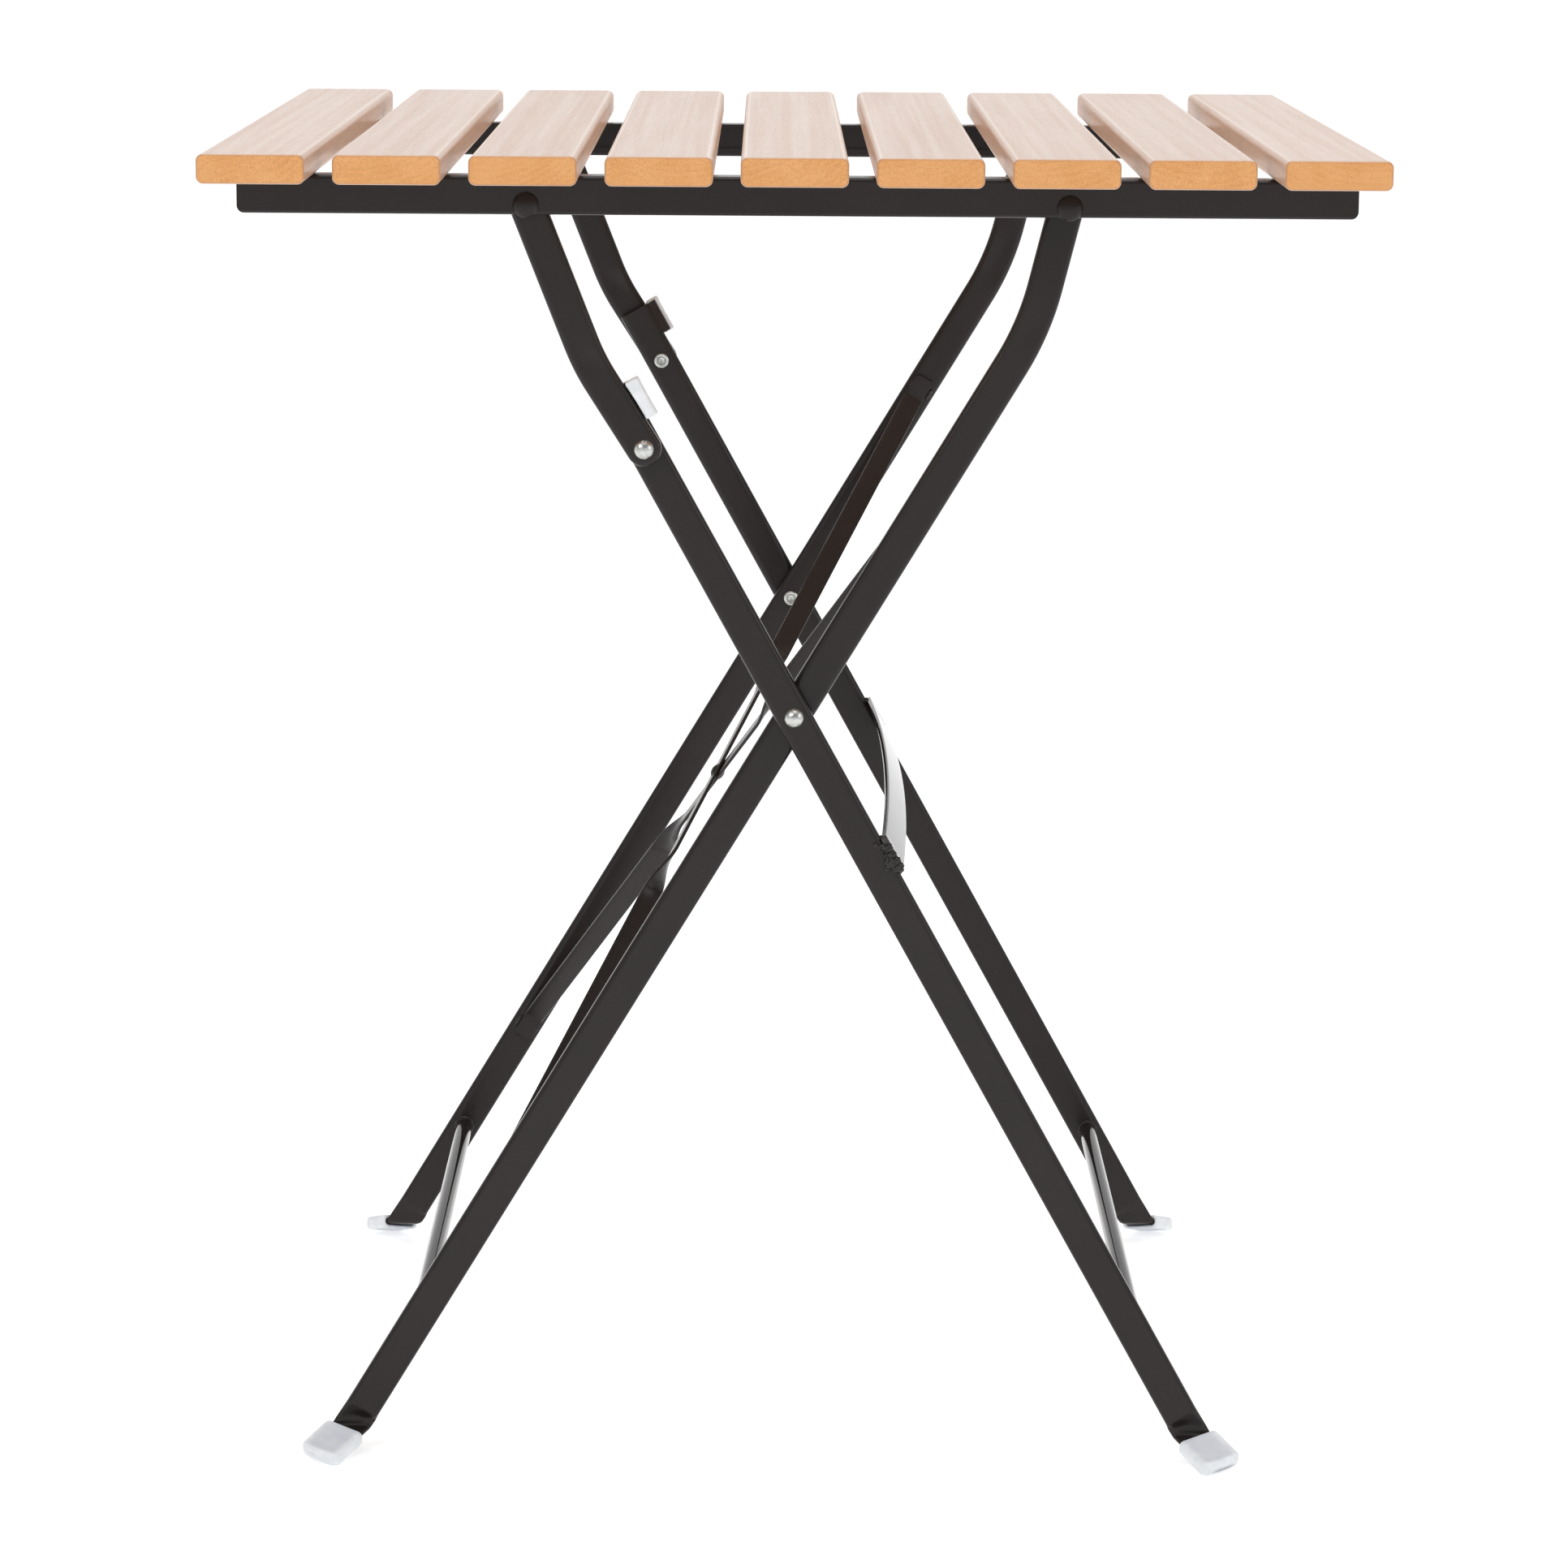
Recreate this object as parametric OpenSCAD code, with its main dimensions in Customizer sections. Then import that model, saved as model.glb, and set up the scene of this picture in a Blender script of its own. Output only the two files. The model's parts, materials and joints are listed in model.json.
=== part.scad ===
// Folding slatted table. Origin on the floor under the middle of the top.
// X runs across the slats, Y along them (the front is -Y), Z is up. Millimetres.

/* [Table top] */
// Side of the square top
top_size = 600; // [580:5:620]
// Height of the top's upper face above the floor
top_height = 710; // [705:1:715]
// Width of one slat
slat_w = 54.4; // [50:0.2:58]
// Thickness of one slat
slat_t = 15; // [13:0.5:18]
// Rounding of a slat's long edges
slat_round = 3.6; // [2:0.2:5]
// Softening of a slat's end edges
slat_end_round = 1.6; // [0.8:0.2:2.4]

/* [Rails] */
// Length of the sheet steel rails under the slats
rail_length = 578.5; // [560:0.5:580]
// Height of a rail
rail_height = 20; // [18:1:24]
// Distance from the middle of the table to a rail's outer face
rail_face_y = 228; // [226:1:232]
// Width of the flange that the slats are screwed to
flange_w = 16; // [14:1:18]
// Thickness of the rail's sheet steel
sheet_t = 1.5; // [1.2:0.1:2]
// Height of the hem folded up along a rail's lower edge
hem_height = 5; // [4:0.5:7]
// Sideways offset of the steelwork from the middle of the slats
steel_shift = 2; // [0:0.5:4]

/* [Legs] */
// Width of the flat-sided tube
tube_w = 18.6; // [17:0.2:20]
// Depth of the flat-sided tube
tube_d = 8; // [7:0.5:9]
// Corner radius of the tube
tube_r = 3; // [2:0.25:3.5]
// Wall thickness of the tube
tube_wall = 1.2; // [1:0.1:1.5]
// Distance from the middle of the table to the middle of the bent legs
bent_leg_y = 201.5; // [200:0.5:203]
// Free gap between neighbouring layers of tube
layer_gap = 1; // [0.8:0.1:1.2]
// Half of the distance between the two pivots on a rail
pivot_x = 140.3; // [139:0.1:141]
// Height of the rail pivots
pivot_z = 680; // [679:0.5:681]
// Height of the centre pivot
centre_z = 409.5; // [405:0.5:415]
// Sideways distance from the centre pivot to the knee
knee_x = 79.4; // [79:0.1:80]
// Height of the knee
knee_z = 553; // [552:0.5:554]
// Lean of a bent leg's long run from vertical, in degrees
bent_tilt = 31.1; // [30.5:0.1:31.5]
// Lean of a bent leg's upper end from vertical, in degrees
bent_top_tilt = 14; // [12:0.5:16]
// Radius of a bent leg's bend
bent_radius = 150; // [110:5:160]
// Lean of a link's lower run from vertical, in degrees
link_tilt = 32.5; // [32:0.1:33]
// Lean of a link's upper run from vertical, in degrees
link_top_tilt = 21.5; // [21:0.5:22]
// Radius of a link's bend
link_radius = 120; // [100:5:140]

/* [Feet] */
// Angle that a leg's flattened end is folded outwards, in degrees
foot_fold = 70; // [68:1:72]
// Thickness of the flattened end
tab_t = 3.4; // [3.2:0.2:3.6]
// Length of a foot cap
cap_length = 26; // [25:0.5:27]
// Width of a foot cap
cap_w = 24.4; // [24:0.2:24.8]
// Thickness of a foot cap
cap_t = 8.2; // [7.8:0.2:8.6]
// How far a cap's sharp lowest corner would reach below the floor that its sole is flat on
sole_cut = 2; // [1.8:0.1:2.3]

/* [Braces] */
// Width of the flat bar between the straight legs
bar_w = 21; // [18:1:24]
// Thickness of that bar
bar_t = 3; // [2.5:0.5:4]
// Outward bow of that bar at its middle
bar_bow = 6; // [4:0.5:8]
// Distance from the centre pivot down to that bar
bar_drop = 90; // [84:1:94]
// Diameter of the round crossbars near the feet
crossbar_d = 10; // [9:1:12]
// Height above the floor of the crossbar between the bent legs
bent_bar_z = 76.5; // [72:0.5:80]
// Height above the floor of the crossbar between the straight legs
straight_bar_z = 73; // [70:0.5:78]
// Sideways offset of the straight legs' crossbar from the middle of those legs
straight_bar_shift = 1; // [0:0.5:2]
// Width of a cross brace strap
strap_w = 12; // [10:0.5:13]
// Thickness of a cross brace strap
strap_t = 2; // [1.5:0.25:2.25]
// Distance from the centre pivot up to the straps' upper ends
strap_up = 144; // [136:1:148]
// Distance from the centre pivot down to the straps' lower ends
strap_down = 308; // [300:1:316]

/* [Knee stop] */
// Length of a straight leg past the knee
knee_overrun = 34.5; // [33:0.5:36]
// Thickness of the stop ear
ear_t = 3; // [2.5:0.5:3.5]
// Length of the stop ear
ear_length = 20; // [16:1:20]
// Distance from the knee up to the middle of the ear
ear_up = 24; // [23.5:0.5:24.5]
// Length of the sleeve on the stop ear
pad_length = 22; // [22:0.5:23]
// Distance from the straight leg's middle line to the sleeve
pad_offset = 8.9; // [8.9:0.1:9.2]
// Thickness of the sleeve across the ear
pad_t = 6.7; // [6:0.1:7]

/* [Rivets and screws] */
// Diameter of every rivet's shank
rivet_d = 6; // [5:0.5:6]
// Radial clearance of a rivet in its hole
rivet_play = 0.05; // [0.02:0.01:0.08]
// Diameter of the bright rivet heads
head_d = 10.4; // [9:0.2:11]
// Diameter of the painted rivet heads on the rails
rail_head_d = 13.6; // [12:0.2:14]
// Diameter of a rivet's clenched tail
tail_d = 9; // [8:0.2:9]
// Side clearance between a rivet or washer and a part that turns
side_play = 0.35; // [0.3:0.05:0.4]
// Diameter of a slat screw's shank
screw_d = 3.5; // [3:0.1:4]

/* [Hidden] */

wood = [0.85, 0.66, 0.47];
black = [0.15, 0.14, 0.14];
zinc = [0.78, 0.79, 0.8];
plastic = [0.86, 0.87, 0.9];

slat_count = 9;
slat_pitch = (top_size - slat_w) / (slat_count - 1);
rail_top = top_height - slat_t;
screw_y = rail_face_y - 9;
screw_length = 12.5;
screw_head_d = 7;
screw_head_h = 2.2;
screw_point = 3;
cross_length = 4;
cross_w = 0.9;
cross_depth = 1.1;
arc_steps = 6;

layer = tube_d + layer_gap;
straight_leg_y = bent_leg_y + layer;
link_y = straight_leg_y + layer;
half_d = tube_d / 2;
hole_r = rivet_d / 2 + rivet_play;
tail_h = 1.6;
head_h = 3;
rail_head_h = 3.6;
washer_t = layer_gap - side_play;
washer_r = 7;
pin_spacer_r = 6;
notch_r = 8;
rail_corner = 4;

straight_tilt = -atan(knee_x / (knee_z - centre_z));
knee_reach = norm([knee_x, knee_z - centre_z]);
bent_corner = meet([pivot_x, pivot_z - centre_z], bent_tilt, bent_top_tilt);
link_corner = meet([knee_x - pivot_x, pivot_z - knee_z], -link_tilt, -link_top_tilt);

lap = 0.3;
slot_play = 0.05;
flatten_length = 14;
pressed_length = 8;
cap_gap = 0.3;
cap_floor = 2;
straight_run = run_to_fold(straight_tilt) - flatten_length + lap;
bent_run = run_to_fold(bent_tilt) - flatten_length + lap;

ear_face = pad_offset + (pad_t - ear_t) / 2;
pad_round = 1.4;
pad_reach = 0.5;
pad_floor = 1.5;

crossbar_wall = 1.2;
strap_face = bent_leg_y - half_d;
strap_middle = (strap_up - strap_down) / 2;
strap_rise = (strap_up + strap_down) / 2;
strap_angle = atan(strap_face / strap_rise);
strap_half = norm([strap_face, strap_rise]);
strap_flat = 59;
strap_twist = 42;
strap_lug = 13;
strap_gap = 0.04;
brace_rivet_d = 5;
brace_head_d = 8.4;
brace_head_h = 1.8;

// Distances, along leans a and b, from the origin and from p to the corner between them
function meet(p, a, b) =
    let (turn = sin(a) * cos(b) - cos(a) * sin(b),
         first = (p[0] * cos(b) - p[1] * sin(b)) / turn)
    [first, (p[1] - first * cos(a)) / cos(b)];

// Distance along the tube from the middle of a leg's fold line to either end of that line
function fold_slope(tilt) = tube_w / 2 * tan(abs(tilt));

// Height of the fold line above a cap's sharp lowest corner
function fold_height(tilt) =
    let (down = fold_slope(tilt) + cap_gap + cap_length)
    (cap_w / 2 * sin(abs(tilt)) + down * cos(tilt)) * cos(foot_fold)
        + cap_t / 2 * sin(foot_fold);

// Length along a leg from the centre pivot to the middle of its fold line
function run_to_fold(tilt) = (centre_z + sole_cut - fold_height(tilt)) / cos(tilt);

function arc(x, y, r, from, to, steps = arc_steps) =
    [for (i = [0 : steps]) let (a = from + (to - from) * i / steps)
        [x + r * cos(a), y + r * sin(a)]];

function rounded_rect(w, h, r) = concat(
    arc(w / 2 - r, h / 2 - r, r, 0, 90), arc(r - w / 2, h / 2 - r, r, 90, 180),
    arc(r - w / 2, r - h / 2, r, 180, 270), arc(w / 2 - r, r - h / 2, r, 270, 360));

function half_rounded_rect(w, h, r) = concat([[0, -h / 2]],
    arc(w / 2 - r, r - h / 2, r, 270, 360), arc(w / 2 - r, h / 2 - r, r, 0, 90),
    [[0, h / 2]]);

// Low dome of diameter d and height h, as points of half its section
function dome(d, h) =
    let (r = (d * d / 4 + h * h) / (2 * h), open = asin(d / 2 / r))
    concat([[0, 0]], [for (i = [0 : 8]) let (a = open * (1 - i / 8))
        [r * sin(a), r * cos(a) - r + h]]);

// The rear is the mirror image of the front
module rear() { mirror([0, 1, 0]) children(); }
module both_sides() { children(); rear() children(); }

// Stands a member's frame at a point of the steelwork: x across it, z up along it
module stand(x, z, tilt) {
    translate([steel_shift + x, 0, z]) rotate([0, tilt, 0]) children();
}
// Turns z outwards, so that heights are distances from the middle of the table
module outwards() { rotate([90, 0, 0]) children(); }
module at_pivot(x, z) { translate([steel_shift + x, 0, z]) outwards() children(); }
module at_knee() { at_pivot(-knee_x, knee_z) children(); }
module at_centre() { at_pivot(0, centre_z) children(); }

// ---- Rivets, washers and screws ----

module rivet_shank(from, to, r = rivet_d / 2) {
    translate([0, 0, from]) cylinder(h = to - from, r = r, $fn = 48);
}
module rivet_head(at, d, h) {
    translate([0, 0, at]) rotate_extrude($fn = 64) polygon(dome(d, h));
}
// Clenched tail: a low ring around a dimple, facing the middle of the table
module rivet_tail(at) {
    rim = tail_d / 2;
    translate([0, 0, at]) mirror([0, 0, 1]) rotate_extrude($fn = 64)
        polygon(concat([[0, 0], [rim, 0]],
            arc(rim - 0.9, tail_h - 1, 0.9, 0, 90, 4),
            [[rim - 1.8, tail_h - 0.2], [rim - 2.6, 0.5], [0.6, 0.4], [0, 0.8]]));
}
module rivet_hole() { rivet_shank(-rail_face_y - 10, rail_face_y + 10, hole_r); }
module washer(from, to, r) {
    difference() {
        rivet_shank(from, to, r);
        rivet_shank(from - 1, to + 1, hole_r);
    }
}
module slat_screw() {
    difference() {
        union() {
            mirror([0, 0, 1]) rotate_extrude($fn = 32)
                polygon(dome(screw_head_d, screw_head_h));
            cylinder(h = screw_length - screw_point, d = screw_d, $fn = 32);
            translate([0, 0, screw_length - screw_point])
                cylinder(h = screw_point, d1 = screw_d, d2 = 0.6, $fn = 32);
        }
        for (a = [0, 90]) rotate([0, 0, a])
            translate([-cross_length / 2, -cross_w / 2, cross_depth - screw_head_h - 4])
                cube([cross_length, cross_w, 4]);
    }
}

// ---- Table top ----

module slat_screw_spots() {
    for (i = [0 : slat_count - 1], side = [-1, 1])
        translate([(i - (slat_count - 1) / 2) * slat_pitch, side * screw_y,
            rail_top - sheet_t]) children();
}

module slat(number) {
    middle = (number - (slat_count + 1) / 2) * slat_pitch;
    pilot_depth = screw_length - sheet_t + 0.5;
    color(wood) difference() {
        translate([middle, 0, top_height - slat_t / 2]) intersection() {
            outwards() linear_extrude(top_size, center = true)
                polygon(rounded_rect(slat_w, slat_t, slat_round));
            rotate([90, 0, 90]) linear_extrude(slat_w + 1, center = true)
                polygon(rounded_rect(top_size, slat_t, slat_end_round));
        }
        for (side = [-1, 1]) translate([middle, side * screw_y, rail_top - 1])
            cylinder(h = pilot_depth + 1, d = screw_d + 0.1, $fn = 32);
    }
}

// Section of the rear rail: x is the distance from the middle, y the height
function rail_section() =
    let (out = rail_face_y, low = rail_top - rail_height, bend = sheet_t + 0.8,
         in = out - sheet_t, hem_in = out - 2 * sheet_t)
    concat([[out - flange_w, rail_top]],
        arc(out - bend, rail_top - bend, bend, 90, 0),
        arc(out - sheet_t, low + sheet_t, sheet_t, 0, -180),
        [[hem_in, low + hem_height], [in, low + hem_height]],
        arc(out - bend, rail_top - bend, bend - sheet_t, 0, 90),
        [[out - flange_w, rail_top - sheet_t]]);

// Front view of a rail, with its lower corners rounded off
function rail_outline() =
    let (half = rail_length / 2, low = rail_top - rail_height, r = rail_corner)
    concat([[-half, rail_top + 1]], arc(r - half, low + r, r, 180, 270),
        arc(half - r, low + r, r, 270, 360), [[half, rail_top + 1]]);

// Clears the hem round a pivot, so that its spacer can stand on the web
module hem_notch() {
    web = rail_face_y - sheet_t;
    rivet_shank(-web, 2 * sheet_t - web, notch_r);
}
module rear_rail() {
    color(black) difference() {
        translate([steel_shift, 0, 0]) intersection() {
            rotate([90, 0, 90]) linear_extrude(rail_length + 2, center = true)
                polygon(rail_section());
            outwards() linear_extrude(2 * rail_face_y + 2, center = true)
                polygon(rail_outline());
        }
        for (x = [-pivot_x, pivot_x]) at_pivot(x, pivot_z) {
            rivet_hole();
            hem_notch();
        }
        slat_screw_spots() translate([0, 0, -1])
            cylinder(h = sheet_t + 2, d = screw_d + 0.1, $fn = 32);
    }
}
module front_rail() { rear() rear_rail(); }
module slat_screws() { color(zinc) slat_screw_spots() slat_screw(); }

// Pins that the bent legs' upper ends turn on, held in the rails
module bent_leg_pins() {
    color(black) both_sides() at_pivot(pivot_x, pivot_z) {
        rivet_shank(bent_leg_y + half_d + side_play, rail_face_y);
        rivet_head(rail_face_y, rail_head_d, rail_head_h);
    }
}
module bent_leg_spacers() {
    color(black) both_sides() at_pivot(pivot_x, pivot_z)
        washer(bent_leg_y + half_d + side_play, rail_face_y - sheet_t, pin_spacer_r);
}
module link_rivets() {
    color(black) both_sides() at_pivot(-pivot_x, pivot_z) {
        rivet_shank(link_y - half_d - side_play, rail_face_y);
        rivet_head(rail_face_y, rail_head_d, rail_head_h);
        rivet_tail(link_y - half_d - side_play);
    }
}
module link_spacers() {
    color(black) both_sides() at_pivot(-pivot_x, pivot_z)
        washer(link_y + half_d + side_play, rail_face_y - sheet_t, washer_r);
}

// ---- Flat-sided tube ----
// inset 0 gives a member's outside, inset tube_wall gives the hollow inside it

function tube_section(inset) =
    rounded_rect(tube_w - 2 * inset, tube_d - 2 * inset, tube_r - inset);

module tube_run(length, inset) {
    linear_extrude(length) polygon(tube_section(inset));
}
// Bend that starts up z and turns towards -x
module tube_bend(radius, angle, inset) {
    translate([-radius, 0, 0]) outwards() rotate_extrude(angle = angle, $fn = 180)
        translate([radius, 0]) polygon(tube_section(inset));
}
module after_bend(radius, angle) {
    translate([-radius * (1 - cos(angle)), 0, radius * sin(angle)])
        rotate([0, -angle, 0]) children();
}
// Half-round end, centred on its pivot
module tube_end(inset) {
    outwards() rotate_extrude(angle = 180, $fn = 64)
        polygon(half_rounded_rect(tube_w - 2 * inset, tube_d - 2 * inset,
            tube_r - inset));
}
// Straight run from z = -below, one bend, and a run up to a half-round end. The
// runs are a hair slimmer than the bend and the end, and lap into them.
module bent_tube(below, corner, radius, angle, inset) {
    trim = radius * tan(angle / 2);
    slim = inset + 0.03;
    translate([0, 0, -below]) tube_run(below + corner[0] - trim + lap, slim);
    translate([0, 0, corner[0] - trim]) {
        tube_bend(radius, angle, inset);
        after_bend(radius, angle) {
            translate([0, 0, -lap]) tube_run(corner[1] - trim + 2 * lap, slim);
            translate([0, 0, corner[1] - trim]) tube_end(inset);
        }
    }
}
module hollow_bent_tube(below, corner, radius, angle) {
    difference() {
        bent_tube(below, corner, radius, angle, 0);
        bent_tube(below - tube_wall, corner, radius, angle, tube_wall);
    }
}

// ---- Feet ----
// A leg's end is pressed flat and folded outwards along a level line

module at_fold(tilt, y) {
    run = run_to_fold(tilt);
    translate([steel_shift - run * sin(tilt), -y, centre_z - run * cos(tilt)]) children();
}
// Frame of the folded end: x across it, -z along it, from the middle of the fold line
module folded(tilt) {
    rotate([-foot_fold, 0, 0]) rotate([0, tilt, 0]) children();
}
module pressed_end(tilt) {
    half = tab_t / 2;
    taper_start = flatten_length - 2 * lap;
    taper_end = flatten_length - pressed_length;
    side = [[half_d, flatten_length], [half_d, taper_start], [half, taper_end],
        [half, -tube_w], [-half, -tube_w], [-half, taper_end], [-half_d, taper_start],
        [-half_d, flatten_length]];
    difference() {
        rotate([0, tilt, 0]) rotate([90, 0, 90]) linear_extrude(tube_w, center = true)
            polygon(side);
        translate([-2 * tube_w, -tube_w, -4 * tube_w])
            cube([4 * tube_w, 2 * tube_w, 4 * tube_w]);
    }
}
module fold_roll(tilt) {
    rotate([0, 90, 0]) cylinder(h = tube_w / cos(tilt) - 0.4, d = tab_t - 0.1,
        center = true, $fn = 48);
}
module folded_tab(tilt) {
    half = tube_w / 2;
    slope = half * tan(tilt);
    end = fold_slope(tilt) + cap_gap + cap_length - cap_floor;
    folded(tilt) outwards() linear_extrude(tab_t, center = true)
        polygon([[-half, -slope], [-half, -end], [half, -end], [half, slope]]);
}
module foot_tab(tilt, y) {
    at_fold(tilt, y) {
        pressed_end(tilt);
        fold_roll(tilt);
        folded_tab(tilt);
    }
}
module foot_cap(tilt, y) {
    start = fold_slope(tilt) + cap_gap;
    at_fold(tilt, y) folded(tilt) difference() {
        translate([0, 0, -start - cap_length / 2]) intersection() {
            linear_extrude(cap_length, center = true)
                polygon(rounded_rect(cap_w, cap_t, 3));
            outwards() linear_extrude(cap_t, center = true)
                polygon(rounded_rect(cap_w, cap_length, 4));
        }
        translate([-tube_w / 2 - slot_play, -tab_t / 2 - slot_play,
            cap_floor - start - cap_length - slot_play])
            cube([tube_w + 2 * slot_play, tab_t + 2 * slot_play, cap_length]);
    }
}
module above_floor() {
    intersection() {
        children();
        translate([-top_size, -top_size, 0])
            cube([2 * top_size, 2 * top_size, top_height]);
    }
}

// ---- Links ----

module front_link() {
    color(black) difference() {
        translate([0, -link_y, 0]) stand(-knee_x, knee_z, -link_tilt)
            mirror([1, 0, 0]) difference() {
                union() {
                    bent_tube(lap, link_corner, link_radius,
                        link_tilt - link_top_tilt, 0);
                    mirror([0, 0, 1]) tube_end(0);
                }
                bent_tube(lap, link_corner, link_radius,
                    link_tilt - link_top_tilt, tube_wall);
                mirror([0, 0, 1]) tube_end(tube_wall);
            }
        at_knee() rivet_hole();
        at_pivot(-pivot_x, pivot_z) rivet_hole();
    }
}
module rear_link() { rear() front_link(); }

// ---- Straight legs ----

module stand_straight() { stand(0, centre_z, straight_tilt) children(); }

// Ear at the leg's upper end, reaching outwards across the link's edge
module stop_ear() {
    edge = tube_w / 2;
    sunk = 0.5;
    inner = -straight_leg_y + half_d;
    outer = -link_y - half_d + 1;
    root = -straight_leg_y - half_d;
    translate([0, 0, knee_reach + ear_up]) linear_extrude(ear_length, center = true)
        polygon([[edge - sunk, inner - 1.5], [edge, inner - 1.5],
            [ear_face + ear_t, inner - 4], [ear_face + ear_t, outer], [ear_face, outer],
            [ear_face, root], [edge - sunk, root + 1]]);
}
module front_straight_leg() {
    top = knee_reach + knee_overrun;
    color(black) difference() {
        union() {
            stand_straight() {
                translate([0, -straight_leg_y, 0]) difference() {
                    translate([0, 0, -straight_run]) tube_run(straight_run + top, 0);
                    translate([0, 0, tube_wall - straight_run])
                        tube_run(straight_run + top - 2 * tube_wall, tube_wall);
                }
                stop_ear();
            }
            foot_tab(straight_tilt, straight_leg_y);
        }
        at_knee() rivet_hole();
        at_centre() rivet_hole();
    }
}
module rear_straight_leg() { rear() front_straight_leg(); }

// Plastic sleeve pushed over the ear, which the link's edge rests against
module front_stop_pad() {
    inner = -straight_leg_y - half_d - pad_reach;
    outer = -link_y - half_d - pad_reach;
    color(plastic) stand_straight() translate([0, 0, knee_reach + ear_up])
        difference() {
            translate([pad_offset + pad_t / 2, (inner + outer) / 2, 0])
                linear_extrude(pad_length, center = true)
                polygon(rounded_rect(pad_t, inner - outer, pad_round));
            translate([ear_face - slot_play, outer + pad_floor - slot_play,
                -ear_length / 2 - slot_play])
                cube([ear_t + 2 * slot_play, inner - outer, ear_length + 2 * slot_play]);
        }
}
module rear_stop_pad() { rear() front_stop_pad(); }

module front_straight_foot() {
    color(plastic) above_floor() foot_cap(straight_tilt, straight_leg_y);
}
module rear_straight_foot() { rear() front_straight_foot(); }

// Bowed flat bar welded on the straight legs' upper edges
module straight_leg_bar() {
    span = straight_leg_y - half_d;
    steps = 24;
    function bow(y) = bar_bow * (1 - pow(y / span, 2));
    line = [for (i = [0 : steps]) let (y = span * (2 * i / steps - 1))
        [tube_w / 2 + bow(y), y]];
    end = straight_leg_y + half_d;
    inside = concat([[tube_w / 2, -end]], line, [[tube_w / 2, end]]);
    outside = [for (i = [len(inside) - 1 : -1 : 0]) inside[i] + [bar_t, 0]];
    color(black) stand_straight() translate([0, 0, -bar_drop])
        linear_extrude(bar_w, center = true) polygon(concat(inside, outside));
}
module crossbar_tube(half_length) {
    outwards() difference() {
        cylinder(h = 2 * half_length, d = crossbar_d, center = true, $fn = 64);
        cylinder(h = 2 * half_length + 2, d = crossbar_d - 2 * crossbar_wall,
            center = true, $fn = 64);
    }
}
module straight_leg_crossbar() {
    color(black) stand_straight()
        translate([straight_bar_shift, 0, (straight_bar_z - centre_z) / cos(straight_tilt)])
            crossbar_tube(straight_leg_y - half_d);
}

module knee_rivets() {
    color(zinc) both_sides() at_knee() {
        rivet_shank(straight_leg_y - half_d, link_y + half_d + side_play);
        rivet_head(link_y + half_d + side_play, head_d, head_h);
        rivet_tail(straight_leg_y - half_d);
    }
}
module knee_washers() {
    color(plastic) both_sides() at_knee()
        washer(straight_leg_y + half_d, straight_leg_y + half_d + washer_t, washer_r);
}
module centre_rivets() {
    color(zinc) both_sides() at_centre() {
        rivet_shank(bent_leg_y - half_d - side_play, straight_leg_y + half_d);
        rivet_head(straight_leg_y + half_d, head_d, head_h);
        rivet_tail(bent_leg_y - half_d - side_play);
    }
}
module centre_washers() {
    color(plastic) both_sides() at_centre()
        washer(straight_leg_y - half_d - washer_t, straight_leg_y - half_d, washer_r);
}

// ---- Bent legs ----

module stand_bent() { stand(0, centre_z, bent_tilt) children(); }

module front_bent_leg() {
    color(black) difference() {
        union() {
            stand_bent() translate([0, -bent_leg_y, 0])
                hollow_bent_tube(bent_run, bent_corner, bent_radius,
                    bent_tilt - bent_top_tilt);
            foot_tab(bent_tilt, bent_leg_y);
        }
        at_centre() rivet_hole();
        at_pivot(pivot_x, pivot_z) rivet_hole();
    }
}
module rear_bent_leg() { rear() front_bent_leg(); }

// Inner ends of the upper pins, clenched in the bent legs
module bent_leg_pin_tails() {
    color(zinc) both_sides() at_pivot(pivot_x, pivot_z) {
        rivet_shank(bent_leg_y - half_d, bent_leg_y + half_d);
        rivet_tail(bent_leg_y - half_d);
    }
}
module front_bent_foot() {
    color(plastic) above_floor() foot_cap(bent_tilt, bent_leg_y);
}
module rear_bent_foot() { rear() front_bent_foot(); }

// On-edge stretch and its lug, bent to lie on the leg: one view along the strap's width
function strap_end_outline() =
    let (half = strap_t / 2, a = strap_angle, corner = strap_half - half / sin(a),
         mitre = half * tan(a / 2), way = strap_lug * [sin(a), cos(a)],
         outer = [-half, corner + mitre], inner = [half, corner - mitre])
    [[-half, strap_flat + strap_twist], [half, strap_flat + strap_twist], inner,
        inner + way, outer + way, outer];

module half_strap() {
    translate([-strap_t / 2, -strap_w / 2, 0]) cube([strap_t, strap_w, strap_flat]);
    translate([0, 0, strap_flat]) linear_extrude(strap_twist, twist = 90, slices = 16)
        square([strap_t, strap_w], center = true);
    rotate([90, 0, 90]) linear_extrude(strap_w, center = true)
        polygon(strap_end_outline());
}
module flip_y(side) { mirror([0, side > 0 ? 0 : 1, 0]) children(); }

// Flat strap that runs corner to corner between the bent legs. Its ends stand on edge,
// its middle is twisted flat where the two cross. side 1 rises to the front, -1 to the rear.
module strap(side) {
    lift = side * (strap_t + strap_gap) / 2;
    stand_bent() translate([lift, 0, strap_middle]) rotate([side * strap_angle, 0, 0])
        difference() {
            union() {
                flip_y(side) half_strap();
                rotate([180, 0, 0]) flip_y(side) half_strap();
            }
            rotate([0, 90, 0]) cylinder(h = 5 * strap_t, center = true, $fn = 48,
                d = brace_rivet_d + 2 * rivet_play);
        }
}

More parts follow.
